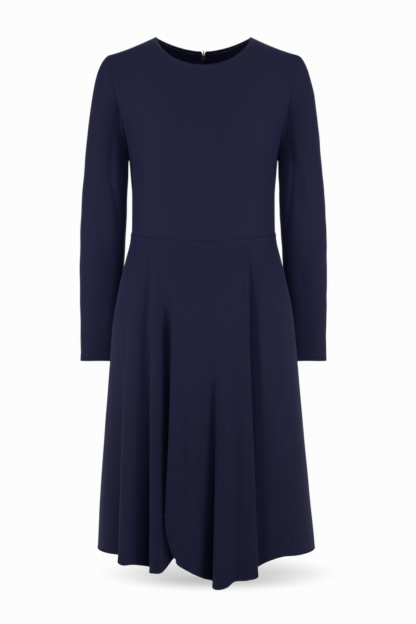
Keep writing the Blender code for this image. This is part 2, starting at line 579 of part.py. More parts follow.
def main():
    for obj in list(bpy.data.objects):
        bpy.data.objects.remove(obj, do_unlink=True)
    for old in ("flared_dress", "flared_dress_cutters"):
        if old in bpy.data.collections:
            bpy.data.collections.remove(bpy.data.collections[old])
    parts = bpy.data.collections.new("flared_dress")
    cutters = bpy.data.collections.new("flared_dress_cutters")
    bpy.context.scene.collection.children.link(parts)
    bpy.context.scene.collection.children.link(cutters)

    def fabric(name):
        return material(f"{name}_jersey", NAVY, 0.78, sheen=0.25)

    # Bodice: rows run upwards, columns from left to right in front and from the centre to the side at the back
    half = SEAM / 2
    ups = np.concatenate([np.linspace(-1, 0, LOWER_ROWS + 1)[:-1], UPPER_UPS])[:, None]
    shares = np.linspace(-1, 1, 2 * BODICE_COLUMNS + 1)[None, :]
    front = inset(bodice(shares, ups, back=False), left=half, right=half, low=half, high=half)
    cloth("bodice_front", front, parts, fabric("bodice_front"))
    backs = {}
    for name, side in (("left", -1), ("right", 1)):
        points = bodice(side * np.linspace(0, 1, BODICE_COLUMNS + 1)[None, :], ups, back=True)
        points = open_mouth(inset(points, right=half, low=half, high=half), side)
        backs[name] = points
        cloth(f"bodice_back_{name}", points, parts, fabric(f"bodice_back_{name}"))

    # Sleeves: their first ring has a point at each row of the armhole's edge
    to_front = 180 * (1 - np.array(UPPER_UPS[::-1]))
    degrees = np.concatenate([to_front, 360 - to_front[::-1][1:]])
    degrees[-1] = 360
    downs = np.concatenate([np.linspace(0, 1, CAP_ROWS + 1)[:-1] ** 1.15, np.linspace(1, 2, ARM_ROWS + 1)])
    right_sleeve = sleeve(degrees[None, :], downs[::-1][:, None])
    right_sleeve[:, -1] = right_sleeve[:, 0]
    cloth("sleeve_right", right_sleeve, parts, fabric("sleeve_right"), around=True)
    cloth("sleeve_left", mirrored(right_sleeve), parts, fabric("sleeve_left"), around=True)

    # Skirt: rows run from the hem up to the waist and lie closer together near the hem
    down = 1 - np.linspace(0, 1, SKIRT_ROWS + 1)[:, None] ** 1.3

    def panel(rows, **kind):
        folds = [0.0]
        for i, cells in enumerate(rows["cells"][:-1]):
            folds += [i + (k + 1) / cells for k in range(int(cells))]
        return skirt(rows, np.array(folds)[None, :], down, **kind)

    over = inset(panel(FRONT_OVER, lap=True), right=half, high=half)
    cloth("skirt_front_over", over, parts, fabric("skirt_front_over"))
    under = inset(panel(FRONT_UNDER), left=half, high=half)
    cloth("skirt_front_under", under, parts, fabric("skirt_front_under"))
    tails = {
        "left": panel(BACK_LEFT, back=True)[:, ::-1],
        "right": panel(BACK_RIGHT, back=True),
    }
    for name, side in (("left", -1), ("right", 1)):
        points = inset(tails[name], right=half, high=half)
        points[:, 0, 0] += side * SEAM  # the folds tilt the cloth here, so its gap is wider
        tails[name] = points
        cloth(f"skirt_back_{name}", points, parts, fabric(f"skirt_back_{name}"))

    # Zip: two tapes inside the back panels, a slider inside with its lug outside, and the pull that hangs from it
    for name in ("left", "right"):
        tape = strip(tails[name], backs[name])
        node = f"zip_tape_{name}"
        cloth(node, tape, parts, material(f"{node}_twill", TAPE_NAVY, 0.85, sheen=0.1), wall=TAPE_WALL)

    line = (backs["left"][:, 0] + backs["right"][:, 0]) / 2
    below = np.linalg.norm(line - line[-1], axis=-1)
    at = np.array([np.interp(-SLIDER_BELOW, -below, line[:, i]) for i in range(3)])
    low = np.array([np.interp(-SLIDER_BELOW - 4, -below, line[:, i]) for i in range(3)])
    up = Vector(at - low).normalized()
    across = Vector((1, 0, 0))
    out = across.cross(up).normalized()
    if out.y < 0:
        out = -out
    # The slider's own axes: X across, Y out of the back, Z up along the centre back
    axes = Matrix((across, out, up)).transposed().to_4x4()
    seat = Matrix.Translation(Vector(at) * MM) @ axes
    inner = -(WALL / 2 + TAPE_CLEAR + TAPE_WALL + 0.35)
    long = SLIDER_LENGTH / 2
    body = box("zip_slider", (-SLIDER_WIDTH / 2, inner - SLIDER_DEPTH, -long), (SLIDER_WIDTH / 2, inner, long), 0.7)
    for vert in body.vertices:
        vert.co.x *= 1 - 0.22 * (long * MM - vert.co.z) / (2 * long * MM)
    body.shade_smooth()
    body.set_sharp_from_angle(angle=math.radians(50))
    slider = add("zip_slider", body, parts, material("zip_slider_metal", DARK_METAL, 0.45, metallic=0.6))
    slider.matrix_world = seat
    reach = BRIDGE_LENGTH / 2
    wide = BRIDGE_WIDTH / 2
    combine(slider, box("slider_bridge", (-wide, inner - 0.9, -reach), (wide, LUG_OUT, reach)), "UNION", cutters)
    combine(
        slider,
        box("slider_post", (-wide - 0.2, -0.9, reach - 0.6), (wide + 0.2, 0.9, SLIDER_BELOW + 0.6), 0.3),
        "UNION",
        cutters,
    )
    combine(slider, rod("slider_hole", HOLE_RADIUS, -3, 3, Matrix.Translation((0, HOLE_OUT * MM, 0))), "DIFFERENCE", cutters)

    pull_mesh = box(
        "zip_pull", (-PULL_WIDTH / 2, -PULL_WALL / 2, -PULL_LENGTH), (PULL_WIDTH / 2, PULL_WALL / 2, 1.4), 0.35
    )
    pull_mesh.shade_smooth()
    pull_mesh.set_sharp_from_angle(angle=math.radians(50))
    pull = add("zip_pull", pull_mesh, parts, material("zip_pull_metal", DARK_METAL, 0.4, metallic=0.6))
    pull.matrix_world = seat @ Matrix.Translation((0, HOLE_OUT * MM, 0))
    slot = box("pull_slot", (-SLOT_WIDTH / 2, -2, -SLOT_REACH), (SLOT_WIDTH / 2, 2, 3))
    combine(pull, slot, "DIFFERENCE", cutters)
    combine(pull, rod("pull_pin", PIN_RADIUS, -SLOT_WIDTH / 2 - 0.5, SLOT_WIDTH / 2 + 0.5, segments=16), "UNION", cutters)


main()
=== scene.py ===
"""The looks of a long-sleeved fit-and-flare jersey dress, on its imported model.

The dress faces -Y, +X is the viewer's right in a front view and +Z is up. The shapes are worked out in
millimetres and turned into metres when a mesh is made.
"""

import math

import bpy
import numpy as np
from mathutils import Matrix, Vector


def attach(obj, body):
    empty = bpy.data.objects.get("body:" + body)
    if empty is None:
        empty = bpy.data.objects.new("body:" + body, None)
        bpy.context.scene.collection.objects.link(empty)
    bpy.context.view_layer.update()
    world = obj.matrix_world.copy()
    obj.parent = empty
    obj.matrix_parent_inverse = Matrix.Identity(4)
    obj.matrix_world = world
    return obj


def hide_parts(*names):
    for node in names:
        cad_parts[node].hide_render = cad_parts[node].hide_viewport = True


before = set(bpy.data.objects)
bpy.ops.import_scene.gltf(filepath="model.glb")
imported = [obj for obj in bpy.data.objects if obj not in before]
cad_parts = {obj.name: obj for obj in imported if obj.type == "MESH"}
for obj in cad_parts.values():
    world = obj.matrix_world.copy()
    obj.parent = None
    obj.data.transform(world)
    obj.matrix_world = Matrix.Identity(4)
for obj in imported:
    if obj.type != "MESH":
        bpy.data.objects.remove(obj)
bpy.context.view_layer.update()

# ---------------------------------------------------------------- sizes, as in the model

MM = 0.001
WALL = 1.4  # thickness of the cloth wall
SEAM = 0.4  # gap between two pieces at a seam
SQUARE = 0.022  # how far a body section is squarer than an ellipse

# Neckline, shoulder and armhole
NECK_HALF = 94.5  # half width of the neck opening, at the neck points
NECK_TOP = 20.5  # height of the neck points
NECK_MIDDLE = 8.0  # the neck points' distance behind the centre plane
NECK_DEPTH = 71.0  # neck opening, from its middle to the front or the back
NECK_DROP_FRONT, NECK_DROP_BACK = 63.0, 20.0
SHOULDER_HALF = 189.0
SHOULDER_HEIGHT = -17.5
SHOULDER_BACK = 3.0
NECK_SHARE = 0.5  # share of the columns, from the centre to the side, that end on the neckline
UNDERARM = -226.0
ARMHOLE_FRONT, ARMHOLE_BACK = 43.0, 48.0  # how far the armhole bows forward and back

# Waist seam: its mean height, its tilt down to the front, and its second wave
WAIST, WAIST_TILT, WAIST_WAVE = -372.8, 14.8, 2.4
HIP, THIGH, HEM = -560.0, -790.0, -1000.0  # heights; the hem's is that at the side seams


def table(columns, *rows):
    """A table as {column: its numbers}, one row for each section, fold or ring."""
    return {name: np.array([row[i] for row in rows], float) for i, name in enumerate(columns.split())}


# Sections of the body, from the waist up to the bust: half width, and depths in front of and behind the middle
TORSO = table(
    "height half front back middle shift",
    (-420.0, 148.0, 109.0, 99.0, 8.0, 0.0),
    (-390.0, 143.8, 107.0, 97.0, 8.0, 0.0),
    (-350.0, 142.6, 108.5, 97.0, 8.0, 0.0),
    (-300.0, 142.4, 116.0, 99.5, 8.0, 0.0),
    (-255.0, 145.6, 126.0, 104.0, 8.0, 0.0),
    (-205.0, 149.5, 132.0, 108.5, 8.0, 0.0),
    (-180.0, 151.0, 132.5, 109.5, 8.0, 0.0),
)

# The plain flare of the skirt that the folds stand in and out of
FLARE = table(
    "height half front back middle shift",
    (-1110.0, 221.6, 156.0, 186.0, -10.0, 5.7),
    (-1002.0, 216.3, 150.0, 178.0, -10.0, 5.7),
    (-895.0, 208.4, 144.0, 170.0, -10.5, 2.9),
    (-756.0, 196.9, 136.0, 158.0, -12.0, 1.4),
    (-626.0, 186.0, 128.0, 144.0, -13.0, 0.5),
    (-552.0, 179.8, 124.0, 134.0, -11.0, 0.0),
    (-480.0, 167.6, 118.0, 121.0, -4.0, 0.0),
    (-430.0, 156.0, 112.0, 108.0, 3.0, 0.0),
    (-390.0, 146.2, 107.6, 98.0, 8.0, 0.0),
    (-372.0, 143.8, 107.0, 97.0, 8.0, 0.0),
    (-350.0, 142.6, 106.5, 97.0, 8.0, 0.0),
)

# Rings of the sleeve below its cap: middle of the arm, and half sizes across and front to back
SLEEVE = table(
    "height across behind half deep",
    (-645.0, 211.0, 74.0, 38.3, 33.0),
    (-629.0, 210.7, 72.3, 38.4, 33.0),
    (-574.0, 208.9, 66.0, 40.1, 36.5),
    (-507.0, 206.6, 54.5, 42.3, 41.5),
    (-448.0, 204.9, 40.5, 43.9, 45.5),
    (-400.0, 202.9, 28.5, 44.7, 48.0),
    (-364.0, 200.9, 19.5, 45.5, 49.0),
    (-294.0, 196.7, 8.0, 44.6, 50.0),
    (-262.0, 194.4, 4.0, 43.6, 50.5),
)
CUFF = -629.0

# Folds of the skirt, from the left side to the right side. across_*: distance right of the centre plane at the
# waist, hip, thigh and hem. out_*: how far the cloth stands out of the plain flare there, with a minus sign where it
# sinks in. start: the height where that begins. drop: how far the hem hangs below the side seams. cells: steps to
# the next row. The rows at the two side seams reach past the flare's edge, which stops them there.
FOLD_ONSET = 110.0  # height over which a fold grows to its full size
LEVELS = ("waist", "hip", "thigh", "hem")
FOLDS = "across_waist across_hip across_thigh across_hem out_waist out_hip out_thigh out_hem start drop cells"
FRONT_UNDER = table(
    FOLDS,
    (-150.0, -190.0, -205.0, -216.0, 0, 0, 0, 0, -380.0, 1, 3),
    (-138.0, -168.5, -183.5, -191.0, 0, 0, -4, -8, -600.0, 5, 1),
    (-127.5, -152.5, -163.5, -166.5, 0, -1, -13, -34, -620.0, 9, 1),
    (-125.0, -148.5, -161.0, -165.5, 0, 1, -2, 0, -600.0, 16, 1),
    (-119.0, -138.0, -149.0, -150.0, 0, 3, 6, 13, -380.0, 22, 1),
    (-110.0, -124.0, -129.5, -129.0, 0, 2, 4, 8, -380.0, 20, 1),
    (-100.0, -106.5, -107.5, -107.0, 0, -6, -16, -26, -420.0, 28, 1),
    (-97.0, -100.5, -103.0, -103.0, 0, 2, 1, 2, -400.0, 34, 1),
    (-90.0, -91.5, -93.0, -91.5, 0, 8, 13, 18, -390.0, 34, 1),
    (-82.5, -82.5, -82.5, -80.5, 0, 0, 0, 3, -440.0, 34, 1),
    (-71.5, -72.0, -74.0, -75.0, 0, -15, -32, -44, -470.0, 21, 1),
    (-62.0, -60.0, -61.0, -58.0, -1.8, -13, -30, -44, -470.0, 4, 1),
    (-50.0, -46.0, -40.0, -32.0, -2.2, -6, -18, -34, -470.0, -22, 1),
)
FRONT_OVER = table(
    FOLDS,
    (-59.5, -61.5, -67.5, -74.0, 0, 1, 1, -2, -380.0, 6, 1),
    (-50.0, -49.5, -50.0, -50.0, 0, 2, 3, 1, -380.0, 18, 1),
    (-34.0, -33.0, -32.0, -29.0, 0, 1, 1, 0, -380.0, 31, 1),
    (-16.5, -14.5, -14.5, -11.0, 0, 2, 5, 5, -480.0, 39, 1),
    (5.0, 7.0, 5.0, 3.0, 0, 0, -3, -9, -560.0, 46, 1),
    (22.5, 22.5, 23.5, 19.0, 0, -3, -15, -33, -590.0, 53, 1),
    (30.5, 31.0, 27.0, 18.5, 0, 0, 0, 5, -590.0, 62, 1),
    (38.5, 39.0, 35.5, 28.5, 0, 3, 9, 19, -470.0, 64, 1),
    (50.0, 50.0, 48.0, 44.0, 0, 3, 9, 18, -380.0, 60, 1),
    (62.0, 63.5, 62.0, 60.0, 0, 0, 2, 6, -380.0, 50, 1),
    (73.5, 77.0, 82.5, 84.0, 0, 2, 4, 9, -380.0, 48, 1),
    (80.5, 85.5, 94.5, 102.5, 0, 3, 6, 11, -380.0, 42, 1),
    (87.5, 92.0, 99.5, 106.5, 0, -12, -15, -15, -400.0, 30, 1),
    (95.5, 103.0, 110.5, 116.5, 0, -5, -12, -19, -400.0, 23, 1),
    (105.5, 114.5, 126.0, 134.0, 0, 2, -4, -12, -400.0, 14, 1),
    (119.5, 140.5, 154.0, 161.0, 0, 3, 2, -8, -380.0, 7, 1),
    (129.5, 160.0, 178.0, 191.0, 0, 1, 2, -3, -380.0, 6, 3),
    (150.0, 190.0, 210.0, 232.0, 0, 0, 0, 0, -380.0, 0, 1),
)
BACK_LEFT = table(
    FOLDS,
    (-150.0, -190.0, -205.0, -216.0, 0, 0, 0, 0, -380.0, 1, 3),
    (-136.0, -165.0, -178.0, -190.0, 0, 0, -2, -3, -400.0, 2, 1),
    (-122.0, -146.0, -158.0, -166.0, 0, 0, -8, -24, -470.0, 5, 1),
    (-108.0, -128.0, -139.0, -147.0, 0, 1, 3, 6, -420.0, 12, 2),
    (-90.0, -103.0, -108.0, -110.0, 0, 0, -8, -20, -400.0, 6, 1),
    (-74.0, -84.0, -90.0, -93.0, 0, 2, 8, 16, -380.0, 16, 2),
    (-54.0, -58.0, -60.0, -60.0, 0, 0, -10, -30, -420.0, 8, 1),
    (-38.0, -40.0, -42.0, -44.0, 0, 1, 4, 8, -380.0, 16, 1),
    (-20.0, -20.0, -20.0, -20.0, 0, 0, 2, 2, -380.0, 14, 1),
    (0.0, 0.0, 0.0, 0.0, 0, 0, 0, -6, -380.0, 10, 1),
)
BACK_RIGHT = table(
    FOLDS,
    (0.0, 0.0, 0.0, 0.0, 0, 0, 0, -6, -380.0, 10, 1),
    (18.0, 18.0, 18.0, 20.0, 0, 0, -3, -14, -480.0, 8, 1),
    (36.0, 38.0, 42.0, 46.0, 0, 1, 5, 10, -420.0, 18, 2),
    (56.0, 62.0, 70.0, 76.0, 0, 0, -10, -26, -400.0, 6, 1),
    (72.0, 82.0, 90.0, 96.0, 0, 2, 7, 14, -380.0, 15, 2),
    (92.0, 108.0, 118.0, 128.0, 0, 0, -8, -22, -470.0, 6, 1),
    (106.0, 126.0, 138.0, 150.0, 0, 1, 4, 8, -420.0, 13, 1),
    (122.0, 148.0, 162.0, 176.0, 0, 0, -5, -16, -520.0, 4, 1),
    (135.0, 167.0, 184.0, 203.0, 0, 0, 0, -2, -400.0, 2, 3),
    (150.0, 190.0, 210.0, 232.0, 0, 0, 0, 0, -380.0, 0, 1),
)
# The free edge of the front lap, where it leaves the seam at the slit and rounds into the hem
LAP = table(
    "height across",
    (-1009.0, -52.0),
    (-1000.0, -59.5),
    (-985.0, -65.5),
    (-965.0, -71.0),
    (-948.0, -74.3),
    (-930.0, -74.6),
    (-900.0, -73.5),
    (-802.0, -68.0),
)

# Zip at the centre back
ZIP_END = -545.0
TAPE_WIDTH, TAPE_WALL = 11.0, 1.0
TAPE_CLEAR = 0.4  # between the tape and the cloth
# The centre back stands open above the slider: half its width, and how far that is below the neck edge
MOUTH = table("below half", (0.0, 5.6), (4.0, 2.6), (19.0, SEAM / 2))
SLIDER_BELOW = 12.0  # from the neck edge down to the slider's middle
SLIDER_WIDTH, SLIDER_LENGTH, SLIDER_DEPTH = 8.0, 10.0, 2.6
BRIDGE_WIDTH, BRIDGE_LENGTH = 1.6, 4.0  # the plate that joins the slider to its lug through the open mouth
LUG_OUT, HOLE_OUT, HOLE_RADIUS = 4.2, 2.7, 0.9  # heights above the middle of the cloth
PULL_LENGTH, PULL_WIDTH, PULL_WALL = 22.0, 4.8, 1.2
SLOT_WIDTH, SLOT_REACH, PIN_RADIUS = 2.2, 3.6, 0.5


# ---------------------------------------------------------------- numbers from the tables


def smooth(rows, column, at):
    """A column of a table, read at heights between its rows without overshoot."""
    order = np.argsort(rows["height"])
    return monotone(rows["height"][order], rows[column][order], at)


def monotone(x, y, at):
    """A smooth curve through points that never overshoots them."""
    x, y = np.asarray(x, float), np.asarray(y, float)
    step, rise = np.diff(x), np.diff(y)
    slope = rise / step
    bend = np.zeros(len(x))
    bend[0], bend[-1] = slope[0], slope[-1]
    for i in range(1, len(x) - 1):
        if slope[i - 1] * slope[i] > 0:
            a, b = 2 * step[i] + step[i - 1], step[i] + 2 * step[i - 1]
            bend[i] = (a + b) / (a / slope[i - 1] + b / slope[i])
    at = np.clip(np.asarray(at, float), x[0], x[-1])
    i = np.clip(np.searchsorted(x, at, side="right") - 1, 0, len(x) - 2)
    t = (at - x[i]) / step[i]
    return (
        (1 + 2 * t) * (1 - t) ** 2 * y[i]
        + t * (1 - t) ** 2 * step[i] * bend[i]
        + t * t * (3 - 2 * t) * y[i + 1]
        + t * t * (t - 1) * step[i] * bend[i + 1]
    )


def between(stack, at):
    """A smooth curve through the first axis of a stack of values, read at a place between two of them. Each place
    has its own values."""
    last = len(stack) - 1
    i = np.clip(np.floor(at).astype(int), 0, last - 1)
    t = at - i
    a, b, c, d = (
        np.take_along_axis(stack, np.clip(i + k, 0, last)[None], axis=0)[0] for k in (-1, 0, 1, 2)
    )
    a = np.where(i == 0, 2 * b - c, a)
    d = np.where(i == last - 1, 2 * c - b, d)
    return 0.5 * (2 * b + (c - a) * t + (2 * a - 5 * b + 4 * c - d) * t**2 + (3 * b - a - 3 * c + d) * t**3)


def through(values, at):
    """between(), for one list of values."""
    at = np.asarray(at, float)
    return between(np.broadcast_to(values.reshape(-1, *[1] * at.ndim), (len(values), *at.shape)), at)


def hermite(start, start_way, end, end_way, t):
    t = np.asarray(t, float)[..., None]
    return (
        (1 + 2 * t) * (1 - t) ** 2 * start
        + t * (1 - t) ** 2 * start_way
        + t * t * (3 - 2 * t) * end
        + t * t * (t - 1) * end_way
    )


# ---------------------------------------------------------------- the body of the dress


def oval(rows, height, degrees):
    """The point of a body section at a height and an angle round the body."""
    a = np.radians(degrees)
    side = (np.sin(a) + SQUARE * np.sin(3 * a)) / (1 - SQUARE)
    fore = (np.cos(a) - SQUARE * np.cos(3 * a)) / (1 - SQUARE)
    deep = np.where(fore > 0, smooth(rows, "front", height), smooth(rows, "back", height))
    x = smooth(rows, "shift", height) + smooth(rows, "half", height) * side
    y = smooth(rows, "middle", height) - deep * fore
    return np.stack(np.broadcast_arrays(x, y, height), axis=-1)


def waist_height(degrees):
    a = np.radians(degrees)
    return WAIST - WAIST_TILT * np.cos(a) - WAIST_WAVE * np.cos(2 * a)


def neckline(degrees):
    """The neck edge: 0 is its centre front and 180 its centre back."""
    a = np.radians(degrees)
    fore = np.cos(a)
    drop = np.where(
        fore > 0, NECK_DROP_FRONT * np.abs(fore) ** 1.22, NECK_DROP_BACK * np.abs(fore) ** 2.4
    )
    return np.stack([NECK_HALF * np.sin(a), NECK_MIDDLE - NECK_DEPTH * fore, NECK_TOP - drop], axis=-1)


def shoulder(share):
    """The shoulder seam on the right, from the neck point, 0, to the shoulder point, 1."""
    return np.stack(
        [
            NECK_HALF + (SHOULDER_HALF - NECK_HALF) * share,
            NECK_MIDDLE + (SHOULDER_BACK - NECK_MIDDLE) * share,
            NECK_TOP + (SHOULDER_HEIGHT - NECK_TOP) * share - 2.5 * np.sin(np.pi * share),
        ],
        axis=-1,
    )


def armhole(degrees):
    """The right armhole: 0 is the shoulder point, 90 its front, 180 the underarm and 270 its back."""
    a = np.radians(degrees)
    up = (1 + np.cos(a)) / 2
    bow = np.where(np.sin(a) > 0, -ARMHOLE_FRONT, ARMHOLE_BACK)
    bust = smooth(TORSO, "half", UNDERARM)
    return np.stack(
        [
            bust + (SHOULDER_HALF - bust) * up,
            SHOULDER_BACK * up + smooth(TORSO, "middle", UNDERARM) * (1 - up) + bow * np.abs(np.sin(a)),
            UNDERARM + (SHOULDER_HEIGHT - UNDERARM) * up,
        ],
        axis=-1,
    )


def upper_column(share, up, back):
    """The right half of the body above the underarm. share: 0 at the centre, 1 at the armhole. up: 0 to 1."""
    share, up = np.broadcast_arrays(np.asarray(share, float), np.asarray(up, float))
    degrees = 180 - 90 * share if back else 90 * share
    start = oval(TORSO, np.full(share.shape, UNDERARM), degrees)
    below = oval(TORSO, np.full(share.shape, UNDERARM - 10), degrees)
    on_neck = np.clip(share / NECK_SHARE, 0, 1)
    on_shoulder = np.clip((share - NECK_SHARE) / (1 - NECK_SHARE), 0, 1)
    end = np.where(
        (share <= NECK_SHARE)[..., None],
        neckline(180 - 90 * on_neck if back else 90 * on_neck),
        shoulder(on_shoulder),
    )
    centre_lean, side_lean = (40, 88) if back else (36, 88)
    lean = np.radians(centre_lean + (side_lean - centre_lean) * (on_neck**1.6))
    way = np.stack([np.zeros_like(lean), (-1 if back else 1) * np.sin(lean), np.cos(lean)], axis=-1)
    reach = np.linalg.norm(end - start, axis=-1)[..., None]
    points = hermite(start, (start - below) / 10 * reach, end, way * reach, up)
    if (share > 0.35).any():
        ones = np.ones_like(share)
        plain = hermite(
            *(np.broadcast_to(v, points.shape) for v in side_column(back)), up
        )
        wanted = armhole((180 * (1 - up)) * (-1 if back else 1) + (360 if back else 0) * ones)
        pull = np.clip((share - 0.35) / 0.65, 0, 1) ** 2
        points = points + pull[..., None] * (wanted - plain)
    return points


def side_column(back):
    """The two ends and their directions of the plain column that the armhole replaces."""
    start = oval(TORSO, np.array(UNDERARM), 90.0)
    below = oval(TORSO, np.array(UNDERARM - 10), 90.0)
    end = shoulder(np.array(1.0))
    lean = math.radians(88)
    way = np.array([0.0, (-1 if back else 1) * math.sin(lean), math.cos(lean)])
    reach = np.linalg.norm(end - start)
    return start, (start - below) / 10 * reach, end, way * reach


def bodice(share, up, back):
    """The bodice's middle surface. share: -1 at the left side, 0 at the centre, 1 at the right side.
    up: -1 at the waist, 0 at the underarm and 1 at the top edge."""
    share, up = np.broadcast_arrays(np.asarray(share, float), np.asarray(up, float))
    side = np.where(share < 0, -1.0, 1.0)
    out = np.abs(share)
    degrees = 180 - 90 * out if back else 90 * out
    waist = waist_height(degrees)
    low = oval(TORSO, waist + (UNDERARM - waist) * (1 + np.minimum(up, 0)), degrees)
    high = upper_column(out, np.maximum(up, 0), back)
    points = np.where((up > 0)[..., None], high, low)
    points[..., 0] *= side
    return points


# ---------------------------------------------------------------- sleeve


def sleeve(degrees, down):
    """The right sleeve's middle surface. degrees: 0 along the outer arm, 90 its front, 180 its inner side.
    down: 0 at the armhole, 1 at the foot of the cap and 2 at the cuff."""
    degrees, down = np.broadcast_arrays(np.asarray(degrees, float), np.asarray(down, float))
    a = np.radians(degrees)
    inner = (1 - np.cos(a)) / 2
    foot = SLEEVE["height"].max()

    def ring(height):
        x = smooth(SLEEVE, "across", height) + smooth(SLEEVE, "half", height) * np.cos(a)
        y = smooth(SLEEVE, "behind", height) - smooth(SLEEVE, "deep", height) * np.sin(a)
        return np.stack(np.broadcast_arrays(x, y, height), axis=-1)

    start = armhole(degrees)
    start[..., 0] += 1.5 * inner**4
    end = ring(np.full(degrees.shape, foot))
    dip = np.radians(26 + 52 * inner)
    reach = np.linalg.norm(end - start, axis=-1)[..., None]
    leave = np.stack([np.cos(dip), 0 * dip, -np.sin(dip)], axis=-1)
    leave[..., 1] = -0.15 * np.sin(a)
    arrive = ring(np.full(degrees.shape, foot - 10)) - end
    arrive = arrive / np.linalg.norm(arrive, axis=-1)[..., None]
    cap = hermite(start, leave * reach * 0.5, end, arrive * reach * 0.85, np.minimum(down, 1))
    arm = ring(foot + (CUFF - foot) * np.clip(down - 1, 0, 1))
    return np.where((down > 1)[..., None], arm, cap)


# ---------------------------------------------------------------- skirt


def angle_at(across, height, back):
    """The angle round the body at which the plain flare is that far right of the centre plane."""
    wanted = np.clip((across - smooth(FLARE, "shift", height)) / smooth(FLARE, "half", height), -1, 1)
    a = np.arcsin(wanted)
    for _ in range(12):
        side = (np.sin(a) + SQUARE * np.sin(3 * a)) / (1 - SQUARE)
        rate = (np.cos(a) + 3 * SQUARE * np.cos(3 * a)) / (1 - SQUARE)
        a = np.clip(a - (side - wanted) / np.maximum(rate, 0.2), -math.pi / 2, math.pi / 2)
    degrees = np.degrees(a)
    return (180 - degrees) % 360 if back else degrees


def skirt(rows, fold, down, back=False, lap=False):
    """The middle surface of a skirt panel. fold: the number of a row of its table, or a place between two rows.
    down: 0 at the waist seam and 1 at the hem. lap: row 0 is the free edge that rounds into the hem."""
    fold, down = np.broadcast_arrays(np.asarray(fold, float), np.asarray(down, float))
    waist = waist_height(through(angle_at(rows["across_waist"], WAIST, back), fold))
    hem = HEM - through(rows["drop"], fold)
    height = waist + (hem - waist) * down
    angles, outs = [], []
    for i, drop in enumerate(rows["drop"]):
        levels = -np.array([WAIST, HIP, THIGH, HEM - drop])
        across = monotone(levels, [rows[f"across_{n}"][i] for n in LEVELS], -height)
        if lap and i == 0:
            across = np.where(height < LAP["height"].max(), smooth(LAP, "across", height), across)
        angles.append(angle_at(across, height, back))
        out = monotone(levels, [rows[f"out_{n}"][i] for n in LEVELS], -height)
        begun = np.clip((rows["start"][i] - height) / FOLD_ONSET, 0, 1)
        begun = begun * begun * (3 - 2 * begun)
        outs.append(rows["out_waist"][i] + (out - rows["out_waist"][i]) * begun)
    degrees, out = between(np.stack(angles), fold), between(np.stack(outs), fold)
    way = oval(FLARE, height, degrees + 1) - oval(FLARE, height, degrees - 1)
    way = way[..., [1, 0, 2]] * [1, -1, 0]
    way /= np.linalg.norm(way, axis=-1)[..., None]
    return oval(FLARE, height, degrees) + way * out[..., None]



# ---------------------------------------------------------------- fine cloth

UP = np.array([0.0, 0.0, 1.0])


def unit(v):
    return v / np.maximum(np.linalg.norm(v, axis=-1), 1e-9)[..., None]


def outward(points, middle, around=False):
    """The direction out of each point of a grid, away from the line (x, y) = middle."""
    if around:
        wide = np.concatenate([points[:, -2:-1], points, points[:, 1:2]], axis=1)
        right = (wide[:, 2:] - wide[:, :-2]) / 2
    else:
        right = np.gradient(points, axis=1)
    up = np.gradient(points, axis=0)
    way = unit(np.cross(right, up))
    arm = points - np.array([middle[0], middle[1], 0.0])
    arm[..., 2] = 0
    return way * (1 if (way * arm).sum() > 0 else -1)


def soften(t):
    t = np.clip(t, 0, 1)
    return t * t * (3 - 2 * t)


CREASE = "x z width depth"


def crease(points, normals, path, front=True, lean=0.0, flat=(0, 2)):
    """How far a soft trough (depth under 0) or ridge moves each point along its normal. The path is a table of
    places seen from the front, with the width and the depth there. lean: how much steeper its left side is."""
    n = len(path["x"])
    t = np.linspace(0, n - 1, 12 * (n - 1) + 1)
    line = {k: through(path[k], t) for k in path}
    p = points[..., flat].reshape(-1, 2)
    best = np.full(len(p), 1e18)
    near = np.zeros(len(p), int)
    for i in range(len(t)):
        d = (p[:, 0] - line["x"][i]) ** 2 + (p[:, 1] - line["z"][i]) ** 2
        closer = d < best
        best[closer], near[closer] = d[closer], i
    tx, tz = np.gradient(line["x"]), np.gradient(line["z"])
    size = np.hypot(tx, tz)
    dx, dz = p[:, 0] - line["x"][near], p[:, 1] - line["z"][near]
    s = (dx * tz[near] - dz * tx[near]) / size[near]  # + on one side of the path
    over = np.abs(dx * tx[near] + dz * tz[near]) / size[near]
    width = line["width"][near] * np.where(s > 0, 1 + lean, 1 - lean)
    fade = np.exp(-((over / (1.2 * line["width"][near])) ** 2))
    move = line["depth"][near] * np.exp(-((s / width) ** 2)) * fade
    facing = np.clip(-normals[..., 1] * (1 if front else -1) * 2.5 + 0.3, 0, 1).reshape(-1)
    return (move * facing).reshape(points.shape[:-1])


def ripple(points, seed, scale, size):
    """Slow unevenness, the same on each run: waves of a few lengths in uneven directions."""
    rng = np.random.default_rng(seed)
    total = np.zeros(points.shape[:-1])
    for _ in range(7):
        way = rng.normal(size=3) / scale
        total += np.sin(points @ way * 2 * math.pi + rng.uniform(0, 2 * math.pi))
    return total * size / 2.6


def arc(points, axis):
    """Distance along a grid's rows or columns, in millimetres, from its first line."""
    step = np.linalg.norm(np.diff(points, axis=axis), axis=-1)
    lead = np.zeros_like(np.take(step, [0], axis=axis))
    return np.concatenate([lead, np.cumsum(step, axis=axis)], axis=axis)


ROUND = 5  # points round a cloth edge


